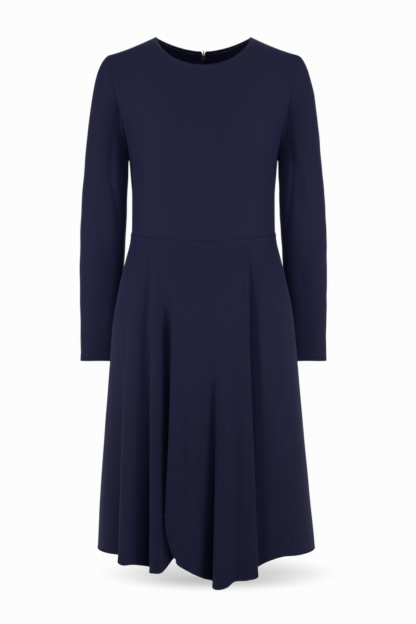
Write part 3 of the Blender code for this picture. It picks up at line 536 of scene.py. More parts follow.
def shell(name, points, normals, half, finish, edges, around=False, body="dress"):
    """A closed cloth wall on a grid of middle points [row, column, xyz] in millimetres. half: how far its outer and
    its inner side stand from those. edges: the rounding, from 0 to 1, of its first column, last column, first row
    and last row."""
    rows, cols = points.shape[:2]
    out, into = (np.broadcast_to(np.asarray(h, float), (rows, cols)) for h in half)
    points = points + normals * ((out - into) / 2)[..., None]
    half = (out + into) / 2
    if around:
        points, normals, half = points[:, :-1], normals[:, :-1], half[:, :-1]
        cols -= 1
    u, v = arc(points, 1), arc(points, 0)
    u = u - u.mean(axis=1, keepdims=True)
    outer = points + normals * half[..., None]
    inner = points - normals * half[..., None]
    verts = [outer.reshape(-1, 3), inner.reshape(-1, 3)]
    number = np.arange(rows * cols).reshape(rows, cols)
    back = number + rows * cols
    faces, uvs = [], []

    def quads(a, b, c, d, corners):
        faces.append(np.stack([a, b, c, d], axis=-1).reshape(-1, 4))
        uvs.append(np.stack(corners, axis=-2).reshape(-1, 4, 2))

    uv = np.stack([u, v], axis=-1) * MM
    if around:
        nxt = np.roll(number, -1, axis=1)
        last = uv.copy()
        end = np.linalg.norm(points[:, 0] - points[:, -1], axis=-1) * MM
        nuv = np.roll(uv, -1, axis=1)
        nuv[:, -1, 0] = last[:, -1, 0] + end
        nuv[:, -1, 1] = last[:, -1, 1]
        a, b, c, d = number[:-1], nxt[:-1], nxt[1:], number[1:]
        corners = (uv[:-1], nuv[:-1], nuv[1:], uv[1:])
    else:
        a, b, c, d = number[:-1, :-1], number[:-1, 1:], number[1:, 1:], number[1:, :-1]
        corners = (uv[:-1, :-1], uv[:-1, 1:], uv[1:, 1:], uv[1:, :-1])
    quads(a, b, c, d, corners)
    base = rows * cols
    quads(d + base, c + base, b + base, a + base, corners[::-1])

    sharp_pairs = []

    # The rim: a loop of boundary points, first row, last column, last row backwards, first column backwards
    def rim(loop, ways, rounding, closed):
        count = len(loop)
        pairs = np.stack([loop, np.roll(loop, -1)], axis=1)
        sharp_pairs.append(pairs[(rounding < 0.6) & (np.roll(rounding, -1) < 0.6)])
        p = points.reshape(-1, 3)[loop]
        n = normals.reshape(-1, 3)[loop]
        h = half.reshape(-1)[loop]
        r = (h * rounding)[:, None]
        h = h[:, None]
        for k in (0, 1):
            verts[k] = verts[k].copy()
            verts[k][loop] -= ways * r
        start = sum(len(x) for x in verts)
        ring = []
        for k in range(ROUND):
            angle = math.pi * (k + 1) / (ROUND + 1)
            side = 1 if angle <= math.pi / 2 else -1
            ring.append(p + n * side * (h - r) + n * r * math.cos(angle) + ways * (r * math.sin(angle) - r))
        ring = np.stack(ring)  # [ROUND, count, 3]
        verts.append(ring.reshape(-1, 3))
        ids = start + np.arange(ROUND * count).reshape(ROUND, count)
        ids = np.concatenate([loop[None], ids, loop[None] + base])
        luv = uv.reshape(-1, 2)[loop]
        luv = np.broadcast_to(luv, (ROUND + 2, count, 2)).copy()
        luv[..., 1] += np.linspace(0, 1, ROUND + 2)[:, None] * 0.0015
        if closed:
            nid = np.roll(ids, -1, axis=1)
            nuv2 = np.roll(luv, -1, axis=1)
            nuv2[:, -1] = luv[:, -1]
        else:
            nid, ids = ids[:, 1:], ids[:, :-1]
            nuv2, luv = luv[:, 1:], luv[:, :-1]
        quads(ids[1:], nid[1:], nid[:-1], ids[:-1], (luv[1:], nuv2[1:], nuv2[:-1], luv[:-1]))

    grid = points
    if around:
        for row, inside, rounding, flip in ((0, 1, edges[2], False), (rows - 1, rows - 2, edges[3], True)):
            loop = number[row]
            ways = unit(grid[row] - grid[inside])
            if flip:
                loop, ways = loop[::-1], ways[::-1]
            rim(loop, ways, np.full(cols, rounding), True)
    else:
        def ways_of(kind):
            ends = {
                "low": (grid[0], grid[1]),
                "high": (grid[-1], grid[-2]),
                "left": (grid[:, 0], grid[:, 1]),
                "right": (grid[:, -1], grid[:, -2]),
            }[kind]
            return unit(ends[0] - ends[1])

        low, high, left, right = (ways_of(k) for k in ("low", "high", "left", "right"))
        edge = {k: np.broadcast_to(np.asarray(e, float), (n,)) for k, e, n in (
            ("left", edges[0], rows), ("right", edges[1], rows), ("low", edges[2], cols), ("high", edges[3], cols))}
        loop = np.concatenate([number[0, :-1], number[:-1, -1], number[-1, :0:-1], number[:0:-1, 0]])
        ways = np.concatenate([low[:-1], right[:-1], high[:0:-1], left[:0:-1]])
        rounding = np.concatenate([edge["low"][:-1], edge["right"][:-1], edge["high"][:0:-1], edge["left"][:0:-1]])
        corner = [(0, left[0], low[0]), (cols - 1, low[-1], right[0]),
                  (cols - 1 + rows - 1, right[-1], high[-1]), (2 * (cols - 1) + rows - 1, high[0], left[-1])]
        for i, w1, w2 in corner:
            ways[i] = unit(w1 + w2)
        rim(loop, ways, rounding, True)

    sharp = np.concatenate(sharp_pairs) if sharp_pairs else np.zeros((0, 2), int)
    v_all = np.concatenate(verts) * MM
    f_all = np.concatenate(faces)
    uv_all = np.concatenate(uvs)
    # faces are wound for columns to the right and rows up, seen from outside; turned if the grid runs the other way
    test = np.cross(points[0, 1] - points[0, 0], points[1, 0] - points[0, 0])
    if (test * normals[0, 0]).sum() < 0:
        f_all = f_all[:, ::-1]
        uv_all = uv_all[:, ::-1]
    mesh = bpy.data.meshes.new(name)
    mesh.vertices.add(len(v_all))
    mesh.vertices.foreach_set("co", v_all.astype(np.float32).ravel())
    mesh.loops.add(f_all.size)
    mesh.loops.foreach_set("vertex_index", f_all.astype(np.int32).ravel())
    mesh.polygons.add(len(f_all))
    mesh.polygons.foreach_set("loop_start", np.arange(0, f_all.size, 4, dtype=np.int32))
    mesh.update(calc_edges=True)
    layer = mesh.uv_layers.new(name="cloth")
    layer.data.foreach_set("uv", uv_all.astype(np.float32).ravel())
    mesh.validate()
    mesh.shade_smooth()
    crisp(mesh, sharp, base)
    mesh.materials.append(finish)
    obj = bpy.data.objects.new(name, mesh)
    bpy.context.scene.collection.objects.link(obj)
    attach(obj, body)
    return obj


def crisp(mesh, loops, base):
    """Keeps a seam's edges from being shaded round. loops: pairs of neighbouring points on the outer side."""
    if not len(loops):
        return
    pairs = np.concatenate([loops, loops + base])
    wanted = np.unique(pairs.min(axis=1) * len(mesh.vertices) + pairs.max(axis=1))
    ends = np.empty(len(mesh.edges) * 2, np.int32)
    mesh.edges.foreach_get("vertices", ends)
    ends = ends.reshape(-1, 2).astype(np.int64)
    keys = ends.min(axis=1) * len(mesh.vertices) + ends.max(axis=1)
    attribute = mesh.attributes.new("sharp_edge", "BOOLEAN", "EDGE") if "sharp_edge" not in mesh.attributes else mesh.attributes["sharp_edge"]
    attribute.data.foreach_set("value", np.isin(keys, wanted))


# ---------------------------------------------------------------- hems and threads

CLOTH = 0.6  # half the thickness of one layer of jersey


def from_edge(points, edge):
    """How far each point of a grid lies from one of its edges, along the cloth."""
    axis = 0 if edge in ("first row", "last row") else 1
    along = arc(points, axis)
    if edge.startswith("last"):
        along = np.take(along, [-1], axis=axis) - along
    return along


def turned(away, depth, extra):
    """The extra cloth of an edge that is turned in by that depth."""
    return extra * soften((depth + 0.9 - away) / 1.8)


def sewn(away, at, sink=0.28, width=0.8):
    """The dent that a row of stitches pulls into the cloth."""
    return -sink * np.exp(-(((away - at) / width) ** 2))


def line_at(points, normals, out, away, at, axis=0):
    """The line on a grid's outer side that lies that far from an edge, and its normals."""
    skin = points + normals * out[..., None]
    if axis == 1:
        skin, normals, away = (np.swapaxes(a, 0, 1) for a in (skin, normals, away))
    order = np.argsort(away[:, 0])
    line, way = [], []
    for j in range(skin.shape[1]):
        line.append([np.interp(at, away[order, j], skin[order, j, k]) for k in range(3)])
        way.append([np.interp(at, away[order, j], normals[order, j, k]) for k in range(3)])
    return np.array(line), unit(np.array(way))


RING = 4  # sides of a thread


def threads(name, lines, pitch, length, radius, finish, lift=0.12, closed=False):
    """Rows of stitches, each a short arched thread that dives into the cloth at both ends. lines: (points, normals)."""
    centres, tangents, ups = [], [], []
    for line, way in lines:
        if closed:
            line, way = np.concatenate([line, line[:1]]), np.concatenate([way, way[:1]])
        run = np.concatenate([[0], np.cumsum(np.linalg.norm(np.diff(line, axis=0), axis=1))])
        count = max(1, int(run[-1] / pitch))
        at = (np.arange(count) + 0.5) * run[-1] / count

        def read(values, where):
            return np.stack([np.interp(where, run, values[:, k]) for k in range(3)], axis=-1)

        centres.append(read(line, at))
        tangents.append(unit(read(line, at + length / 2) - read(line, at - length / 2)))
        ups.append(unit(read(way, at)))
    c, t, n = (np.concatenate(v) for v in (centres, tangents, ups))
    b = unit(np.cross(t, n))
    n = np.cross(b, t)
    rings = []
    for k, (s, lifted, thick) in enumerate(((-0.5, -1.6, 0.7), (-0.36, 0.1, 0.95), (0, 1.0, 1.0), (0.36, 0.1, 0.95), (0.5, -1.6, 0.7))):
        middle = c + t * s * length + n * (lifted * radius + lift - radius * 0.4)
        for q in range(RING):
            a = 2 * math.pi * (q + 0.5) / RING
            rings.append(middle + (b * math.cos(a) + n * math.sin(a)) * radius * thick)
    verts = np.stack(rings, axis=1)  # [stitch, 5 * RING, 3]
    per = verts.shape[1]
    faces = []
    for k in range(4):
        for q in range(RING):
            r = (q + 1) % RING
            faces.append((k * RING + q, (k + 1) * RING + q, (k + 1) * RING + r, k * RING + r))
    faces.append(tuple(range(RING)))
    faces.append(tuple(4 * RING + q for q in reversed(range(RING))))
    faces = (np.array(faces)[None] + (np.arange(len(c)) * per)[:, None, None]).reshape(-1, 4)
    test = verts[0][faces[0]]
    out = np.cross(test[1] - test[0], test[2] - test[1])
    if (out * (test.mean(axis=0) - verts[0].mean(axis=0))).sum() < 0:
        faces = faces[:, ::-1]
    return raw(name, verts.reshape(-1, 3), faces, finish)


def raw(name, verts, faces, finish, body="dress", uvs=None):
    """A mesh of four-sided faces, in millimetres."""
    mesh = bpy.data.meshes.new(name)
    mesh.vertices.add(len(verts))
    mesh.vertices.foreach_set("co", (verts * MM).astype(np.float32).ravel())
    mesh.loops.add(faces.size)
    mesh.loops.foreach_set("vertex_index", faces.astype(np.int32).ravel())
    mesh.polygons.add(len(faces))
    mesh.polygons.foreach_set("loop_start", np.arange(0, faces.size, 4, dtype=np.int32))
    mesh.update(calc_edges=True)
    if uvs is not None:
        mesh.uv_layers.new(name="cloth").data.foreach_set("uv", uvs.astype(np.float32).ravel())
    mesh.validate()
    mesh.shade_smooth()
    mesh.materials.append(finish)
    obj = bpy.data.objects.new(name, mesh)
    bpy.context.scene.collection.objects.link(obj)
    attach(obj, body)
    return obj


def steps(*parts):
    """Grid steps from (end, number) pairs, starting at the first pair's own number."""
    at = [parts[0]]
    for end, n in parts[1:]:
        n = max(3, n // FINE)
        at += list(at[-1] + (end - at[-1]) * np.arange(1, n + 1) / n)
    return np.array(at)


FINE = 1

# ---------------------------------------------------------------- materials


class Nodes:
    """A short way to write a material's nodes."""

    def __init__(self, name):
        self.material = bpy.data.materials.new(name)
        self.material.use_nodes = True
        self.tree = self.material.node_tree
        self.shader = self.tree.nodes["Principled BSDF"]

    def new(self, kind, **inputs):
        node = self.tree.nodes.new(kind)
        for key, value in inputs.items():
            if key in node.bl_rna.properties and key not in ("name", "label"):
                setattr(node, key, value)
                continue
            key = key.replace("_", " ")
            socket = node.inputs[int(key[1:])] if key[0] == "i" and key[1:].isdigit() else node.inputs[key]
            if isinstance(value, bpy.types.NodeSocket):
                self.tree.links.new(value, socket)
            else:
                socket.default_value = value
        return node

    def math(self, operation, *values):
        return self.new("ShaderNodeMath", operation=operation, **{f"i{i}": v for i, v in enumerate(values)}).outputs[0]

    def link(self, output, name):
        self.tree.links.new(output, self.shader.inputs[name])


def jersey(name, colour, roughness=0.74, sheen=0.16, wale=0.00085, gloss=0.12):
    """Fine knit: rows of small stitches along the cloth, faint unevenness of dye, a painted highlight on the raised
    stitches, painted streaks of fold shade, and a soft nap.
    """
    m = Nodes(name)
    uv = m.new("ShaderNodeUVMap", uv_map="cloth").outputs["UV"]
    place = m.new("ShaderNodeTexCoord").outputs["Object"]
    parts = m.new("ShaderNodeSeparateXYZ", Vector=uv)
    u, v = parts.outputs["X"], parts.outputs["Y"]
    # wales run up the cloth, courses across it; each stitch leans a little to the left or the right of its wale
    along = m.math("MULTIPLY", v, 2 * math.pi / (wale * 0.8))
    lean = m.math("MULTIPLY", m.math("SINE", along), 0.55)
    across = m.math("SINE", m.math("ADD", m.math("MULTIPLY", u, 2 * math.pi / wale), lean))
    knit = m.math("ADD", m.math("MULTIPLY", across, 0.65), m.math("MULTIPLY", m.math("SINE", along), 0.35))
    fuzz = m.new("ShaderNodeTexNoise", Vector=place, Scale=1400.0, Detail=3.0, Roughness=0.6).outputs["Fac"]
    streak = m.new("ShaderNodeCombineXYZ", X=m.math("MULTIPLY", u, 420.0), Y=m.math("MULTIPLY", v, 36.0), Z=0.0)
    slub = m.new("ShaderNodeTexNoise", Vector=streak.outputs[0], Scale=1.0, Detail=4.0, Roughness=0.65).outputs["Fac"]
    cloud = m.new("ShaderNodeTexNoise", Vector=place, Scale=9.0, Detail=3.0, Roughness=0.5).outputs["Fac"]
    # painted shade: soft upright streaks, lighter and darker, that stand for the light and shade on small drag folds of
    # the cloth
    band = m.new("ShaderNodeCombineXYZ", X=m.math("MULTIPLY", u, 55.0), Y=m.math("MULTIPLY", v, 3.5), Z=0.0)
    painted_fold_streaks = m.new("ShaderNodeTexNoise", Vector=band.outputs[0], Scale=1.0, Detail=3.0, Roughness=0.55).outputs["Fac"]
    height = m.math("ADD", m.math("MULTIPLY", knit, 0.5), m.math("MULTIPLY", fuzz, 0.9))
    height = m.math("ADD", height, m.math("MULTIPLY", slub, 0.8))
    bump = m.new("ShaderNodeBump", Strength=0.35, Distance=0.00025, Height=height)
    m.link(bump.outputs["Normal"], "Normal")
    # colour: a little lighter in the dye's clouds and slubs, with a painted highlight that makes the raised stitches a
    # little lighter, and painted streaks of light and shade for small drag folds
    shade = m.math(
        "ADD",
        m.math("MULTIPLY", m.math("SUBTRACT", slub, 0.5), 0.24),
        m.math("MULTIPLY", m.math("SUBTRACT", cloud, 0.5), 0.16),
    )
    # the painted streaks of fold shade go into the colour here
    shade = m.math("ADD", shade, m.math("MULTIPLY", m.math("SUBTRACT", painted_fold_streaks, 0.5), 0.3))
    # painted highlight: the raised stitches of the knit are made a little lighter in the colour
    shade = m.math("ADD", m.math("ADD", shade, m.math("MULTIPLY", across, 0.04)), 1.0)
    mix = m.new("ShaderNodeMix", data_type="RGBA", blend_type="MULTIPLY", i0=1.0)
    mix.inputs[6].default_value = (*colour, 1.0)
    grey = m.new("ShaderNodeCombineColor", Red=shade, Green=shade, Blue=shade).outputs[0]
    m.tree.links.new(grey, mix.inputs[7])
    m.link(mix.outputs[2], "Base Color")
    m.link(m.math("ADD", roughness - 0.04, m.math("MULTIPLY", slub, 0.08)), "Roughness")
    m.shader.inputs["Sheen Weight"].default_value = sheen
    m.shader.inputs["Sheen Roughness"].default_value = 0.35
    m.shader.inputs["Sheen Tint"].default_value = (0.33, 0.35, 0.78, 1.0)
    m.shader.inputs["Specular IOR Level"].default_value = gloss
    m.material.diffuse_color = (*colour, 1.0)
    return m.material


def metal(name, colour, roughness):
    m = Nodes(name)
    place = m.new("ShaderNodeTexCoord").outputs["Object"]
    grain = m.new("ShaderNodeTexNoise", Vector=place, Scale=2600.0, Detail=3.0).outputs["Fac"]
    wear = m.new("ShaderNodeTexNoise", Vector=place, Scale=420.0, Detail=4.0, Roughness=0.6).outputs["Fac"]
    mix = m.new("ShaderNodeMix", data_type="RGBA", i0=m.math("MULTIPLY", wear, 0.6))
    mix.inputs[6].default_value = (*colour, 1.0)
    mix.inputs[7].default_value = (*(min(1.0, c * 1.7 + 0.01) for c in colour), 1.0)
    m.link(mix.outputs[2], "Base Color")
    m.link(m.math("ADD", roughness - 0.06, m.math("MULTIPLY", wear, 0.12)), "Roughness")
    m.link(m.new("ShaderNodeBump", Strength=0.2, Distance=0.00005, Height=grain).outputs["Normal"], "Normal")
    m.shader.inputs["Metallic"].default_value = 0.75
    m.material.diffuse_color = (*colour, 1.0)
    return m.material


def thread(name, colour):
    """Twisted sewing thread."""
    m = Nodes(name)
    place = m.new("ShaderNodeTexCoord").outputs["Object"]
    ply = m.new("ShaderNodeTexNoise", Vector=place, Scale=3000.0, Detail=2.0).outputs["Fac"]
    shade = m.math("ADD", 0.8, m.math("MULTIPLY", ply, 0.4))
    mix = m.new("ShaderNodeMix", data_type="RGBA", blend_type="MULTIPLY", i0=1.0)
    mix.inputs[6].default_value = (*colour, 1.0)
    grey = m.new("ShaderNodeCombineColor", Red=shade, Green=shade, Blue=shade).outputs[0]
    m.tree.links.new(grey, mix.inputs[7])
    m.link(mix.outputs[2], "Base Color")
    m.link(m.new("ShaderNodeBump", Strength=0.3, Distance=0.00008, Height=ply).outputs["Normal"], "Normal")
    m.link(m.math("ADD", 0.5, m.math("MULTIPLY", ply, 0.1)), "Roughness")
    m.shader.inputs["Specular IOR Level"].default_value = 0.25
    m.material.diffuse_color = (*colour, 1.0)
    return m.material


NAVY = (0.0082, 0.0085, 0.0315)
JERSEY = jersey("navy_jersey", NAVY)
TAPE = jersey("zip_tape_twill", (0.010, 0.010, 0.024), roughness=0.85, sheen=0.05, wale=0.0011)
COIL = metal("zip_coil_nylon", (0.012, 0.012, 0.022), 0.5)
METAL = metal("zip_metal_enamel", (0.10, 0.10, 0.115), 0.42)
THREAD = thread("navy_thread", (0.030, 0.030, 0.068))
TACK = thread("navy_tack_thread", (0.024, 0.024, 0.052))

# ---------------------------------------------------------------- bodice

STREAKS = [  # soft upright streaks and drags of the bodice front, and the creases that run into the armholes
    table(CREASE, (-112, -238, 9, 0.0), (-113, -275, 10, 0.9), (-112, -325, 9, 1.0), (-109, -372, 7, 0.3)),
    table(CREASE, (106, -238, 9, 0.0), (108, -280, 10, 1.0), (107, -330, 9, 0.9), (103, -372, 7, 0.3)),
    table(CREASE, (-92, -262, 8, 0.0), (-90, -310, 9, -0.6), (-87, -368, 7, -0.3)),
    table(CREASE, (86, -258, 8, 0.0), (84, -312, 9, -0.7), (80, -370, 7, -0.3)),
    table(CREASE, (-150, -150, 5, 0.0), (-143, -176, 5, -1.6), (-138, -204, 5, -1.4), (-136, -240, 5, 0.0)),
    table(CREASE, (150, -156, 5, 0.0), (143, -180, 5, -1.5), (137, -208, 5, -1.3), (136, -242, 5, 0.0)),
    table(CREASE, (-150, -86, 12, 0.0), (-142, -130, 13, 1.3), (-137, -178, 12, 1.4), (-135, -226, 9, 0.4)),
    table(CREASE, (150, -92, 12, 0.0), (141, -136, 13, 1.2), (135, -182, 11, 1.3), (133, -226, 9, 0.3)),
    table(CREASE, (-24, -205, 30, 0.0), (2, -214, 34, -1.2), (30, -208, 30, 0.0)),
]
BACK_STREAKS = [  # the hidden side: a hollow between the shoulder blades, drags to the armholes and over the small of the back
    table(CREASE, (-160, -112, 7, 0.0), (-155, -160, 7, -1.8), (-148, -205, 6, -2.2), (-146, -240, 5, -0.8)),
    table(CREASE, (161, -120, 7, 0.0), (154, -166, 7, -1.7), (147, -208, 6, -2.0), (145, -240, 5, -0.8)),
    table(CREASE, (-128, -268, 8, 0.0), (-92, -292, 9, -1.1), (-52, -306, 8, -0.4)),
    table(CREASE, (124, -282, 8, 0.0), (86, -302, 8, -1.0), (44, -314, 7, -0.3)),
    table(CREASE, (-118, -322, 7, 0.0), (-76, -336, 8, -0.9), (-34, -344, 7, -0.2)),
    table(CREASE, (110, -330, 7, 0.0), (72, -344, 8, -0.8), (30, -350, 7, -0.2)),
    table(CREASE, (-64, -92, 20, 0.0), (-72, -150, 24, 1.0), (-60, -210, 20, 0.0)),
    table(CREASE, (66, -96, 20, 0.0), (74, -156, 24, 0.9), (60, -214, 20, 0.0)),
]


def creased(p, normal, creases, front, seed):
    """A grid moved out by its creases and by a slow unevenness."""
    move = ripple(p, seed, 210, 0.25)
    for path in creases:
        move = move + crease(p, normal, path, front=front)
    return p + normal * move[..., None]


def hold(p, was, *edges, reach=9.0):
    """Keeps the creases off a grid's seam edges, so that neighbouring pieces still meet there."""
    keep = np.ones(p.shape[:2])
    for edge in edges:
        keep = keep * soften(from_edge(was, edge) / reach)
    return was + (p - was) * keep[..., None]


def neck_share(shares):
    """1 for a column that ends on the neck edge, 0 for one that ends on the shoulder seam."""
    return soften((NECK_SHARE + 0.012 - np.abs(shares)) / 0.02)[None, :]


# How deep the cloth is drawn in along the armhole: 0 is the shoulder point, 90 its front, 180 the underarm
ARMHOLE_SINK = {
    "left": table("degrees depth", (0, 0), (22, 2.4), (54, 4.4), (82, 2.0), (96, -1.0), (116, -5.5), (140, -10.0), (160, -8.5),
                  (176, 0), (188, 0), (206, -3.6), (232, -3.2), (262, -0.8), (300, 0), (360, 0)),
    "right": table("degrees depth", (0, 0), (22, 2.3), (56, 4.2), (88, 1.6), (102, -1.2), (122, -5.2), (144, -9.4), (161, -8.0),
                   (176, 0), (188, 0), (204, -3.2), (228, -3.6), (258, -1.0), (300, 0), (360, 0)),
}
SINK_WIDTH, FILL_WIDTH = 4.8, 17.0  # of the crease, and of the fuller cloth above it


def drawn_in(away, degrees, side, axis):
    """How far the points of a grid are drawn in near its armhole edge. degrees: the place on the armhole of each of
    the grid's rows (axis 1) or columns (axis 0)."""
    rows = ARMHOLE_SINK["left" if side < 0 else "right"]
    depth = monotone(rows["degrees"], rows["depth"], degrees)
    move = np.expand_dims(armhole_normals(degrees, side) * depth[:, None], axis)
    wide = np.expand_dims(np.where(depth > 0, FILL_WIDTH, SINK_WIDTH), axis)
    return move * np.exp(-((away / wide) ** 2))[..., None]


def armhole_normals(degrees, side):
    """The direction out of the dress along an armhole, half way between the bodice's and the sleeve's."""
    degrees = np.clip(np.asarray(degrees, float), 0.5, 359.5)
    back = degrees > 180
    up = 1 - np.where(back, 360 - degrees, degrees) / 180
    up = np.clip(up, 0.004, 0.996)
    edge = np.where(back[:, None], bodice(1.0, up, True), bodice(1.0, up, False))
    inner = np.where(back[:, None], bodice(0.97, up, True), bodice(0.97, up, False))
    across = unit(edge - inner)
    along = unit(armhole(degrees + 0.5) - armhole(degrees - 0.5))
    leaving = unit(sleeve(degrees, 0.04) - sleeve(degrees, 0.0))
    way = unit(unit(np.cross(along, across)) + unit(np.cross(along, leaving)))
    way = way * np.where((way[:, :1] * 0.6 + way[:, 2:] * 0.8) < 0, -1, 1)
    return way * [side, 1, 1]


def steady(p, count=40):
    """Evens out a grid's columns between its two sides, but not at its top and bottom edges."""
    keep = soften(from_edge(p, "last row") / 16) * soften(from_edge(p, "first row") / 16)
    keep = keep[:, 1:-1, None]
    for _ in range(max(4, count // FINE**2)):
        p = p.copy()
        p[:, 1:-1] += keep * (0.25 * p[:, :-2] + 0.25 * p[:, 2:] - 0.5 * p[:, 1:-1])
    return p


NECK_TURN, CUFF_TURN, HEM_TURN = 9.0, 15.0, 6.0  # depths of the turned edges
neck_lines, inner_lines, pieces = [], [], {}
UPS = steps(-1, (-0.93, 7), (0, 52), (0.9, 50), (1, 20))


def bodice_piece(name, side, back):
    """side: 0 for the whole width, -1 or 1 for one half."""
    n = 80 // FINE
    if side == 0:
        shares = np.linspace(-1, 1, 2 * n + 1)
    else:
        shares = side * steps(0, (0.1, 14), (1, 64))
    was = steady(bodice(shares[None, :], UPS[:, None], back))
    if back:
        below = np.linalg.norm(was[:, :1] - was[-1:, :1], axis=-1)
        gap = monotone(MOUTH["below"], MOUTH["half"], below) - SEAM / 2 + 0.1
        was[..., 0] += side * gap * np.clip(1 - np.abs(shares) / 0.1, 0, 1)
    normal = outward(was, (0, 8))
    p = creased(was, normal, BACK_STREAKS if back else STREAKS, not back, 3 + side)
    p = hold(p, was, "first column", "last column", "first row", "last row", reach=7)
    above = np.flatnonzero(UPS > 0.004)
    for edge, at in (("first column", -1), ("last column", 1)):
        if back and edge == "first column":
            continue
        at = at if side == 0 else side
        degrees = 180 * (1 - UPS[above])
        p[above] += drawn_in(from_edge(p, edge)[above], 360 - degrees if back else degrees, at, 1)
    normal = outward(p, (0, 8))
    for edge, at in (("first column", -1), ("last column", 1)):
        if back and edge == "first column":
            continue
        at = at if side == 0 else side
        degrees = 180 * (1 - UPS[above])
        shared = armhole_normals(360 - degrees if back else degrees, at)
        near = np.exp(-((from_edge(p, edge)[above] / 4.5) ** 2))[..., None]
        normal[above] = unit(normal[above] * (1 - near) + shared[:, None] * near)
    on_neck = neck_share(shares)
    neck, waist = from_edge(p, "last row"), from_edge(p, "first row")
    twin = sewn(neck, 6.0) + sewn(neck, 8.0)
    roll = 0.6 * np.exp(-((neck / 1.4) ** 2))
    out = CLOTH + on_neck * (turned(neck, NECK_TURN, 0.3) + twin + roll) - 0.35 * np.exp(-((waist / 1.6) ** 2))
    into = CLOTH + on_neck * turned(neck, NECK_TURN, 0.8) + turned(waist, 9, 0.7)
    edges = [0.1, 0.1, 0.4, 0.1 + 0.9 * on_neck[0]]
    if back:
        fold = from_edge(p, "first column")
        into = into + turned(fold, 13, 0.5)
        edges[0] = 1.0
    obj = shell(f"jersey_{name}", p, normal, (out, into), JERSEY, edges)
    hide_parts(name)
    pieces[name] = obj
    inside = np.flatnonzero(on_neck[0] > 0.95)
    for at in (6.0, 8.0):
        neck_lines.append(line_at(p[:, inside], normal[:, inside], out[:, inside], neck[:, inside], at))
    for at in (5.8, 6.5, 7.2, 8.2):  # the looped side of the twin stitch, inside the neck
        inner_lines.append(line_at(p[:, inside], -normal[:, inside], into[:, inside], neck[:, inside], at))
    return p, normal


bodice_piece("bodice_front", 0, False)
backs = {}
for word, side in (("left", -1), ("right", 1)):
    backs[word] = bodice_piece(f"bodice_back_{word}", side, True)
threads("thread_neck", neck_lines, 2.6, 2.2, 0.17, THREAD)
threads("thread_neck_inside", inner_lines, 1.9, 2.1, 0.24, THREAD)

# ---------------------------------------------------------------- sleeves

SLEEVE_CREASES = {
    "left": [
        table(CREASE, (-179, -150, 5, 0.0), (-181, -205, 5, -1.8), (-183, -256, 5.5, -2.4), (-175, -304, 5, -2.6), (-169, -344, 5, -2.2), (-165, -392, 5, 0.0)),
        table(CREASE, (-166, -180, 7, 0.0), (-168, -220, 7, 2.2), (-170, -256, 7, 2.0), (-165, -300, 7, 0.0)),
        table(CREASE, (-226, -130, 9, 0.0), (-230, -200, 10, 1.4), (-234, -280, 10, 1.2), (-236, -350, 9, 0.0)),
        table(CREASE, (-214, -300, 10, 0.0), (-204, -352, 12, -1.5), (-192, -410, 10, -1.0), (-188, -450, 9, 0.0)),
        table(CREASE, (-222, -418, 9, 0.0), (-208, -452, 11, 1.4), (-198, -498, 9, 0.0)),
        table(CREASE, (-178, -440, 8, 0.0), (-190, -480, 9, -1.3), (-206, -520, 9, 0.0)),
        table(CREASE, (-224, -540, 8, 0.0), (-206, -560, 9, -0.9), (-190, -568, 8, 0.0)),
    ],
    "right": [
        table(CREASE, (166, -168, 5, 0.0), (173, -208, 5, -1.8), (177, -252, 5.5, -2.6), (173, -302, 5, -2.8), (166, -354, 5, -2.4), (160, -410, 5, 0.0)),
        table(CREASE, (176, -176, 6, 0.0), (190, -220, 7, 1.8), (202, -268, 8, 2.2), (203, -320, 9, 2.0), (198, -372, 8, 1.4), (194, -430, 8, 0.0)),
        table(CREASE, (216, -288, 11, 0.0), (206, -342, 12, -1.4), (198, -398, 10, 0.0)),
        table(CREASE, (184, -420, 8, 0.0), (196, -462, 10, -1.4), (212, -506, 9, 0.0)),
        table(CREASE, (222, -430, 9, 0.0), (212, -470, 11, 1.3), (204, -520, 9, 0.0)),
        table(CREASE, (190, -548, 8, 0.0), (206, -562, 9, -0.9), (224, -570, 8, 0.0)),
    ],
}
BACK_CREASES = {  # behind each arm, as seen from the front
    "left": [
        table(CREASE, (-176, -196, 9, 0.0), (-186, -246, 10, -2.2), (-184, -312, 9, 0.0)),
        table(CREASE, (-218, -356, 9, 0.0), (-206, -388, 9, -2.0), (-186, -412, 8, 0.0)),
        table(CREASE, (-220, -398, 9, 0.0), (-206, -424, 9, -1.7), (-190, -440, 8, 0.0)),
    ],
    "right": [
        table(CREASE, (172, -204, 9, 0.0), (184, -256, 10, -2.2), (182, -322, 9, 0.0)),
        table(CREASE, (216, -348, 9, 0.0), (204, -380, 9, -1.9), (184, -402, 8, 0.0)),
        table(CREASE, (222, -404, 9, 0.0), (208, -430, 9, -1.8), (190, -452, 8, 0.0)),
    ],
}
FULL = 4.5
DOWNS = steps(2, (1.94, 14), (1, 74), (0.06, 44), (0, 8))

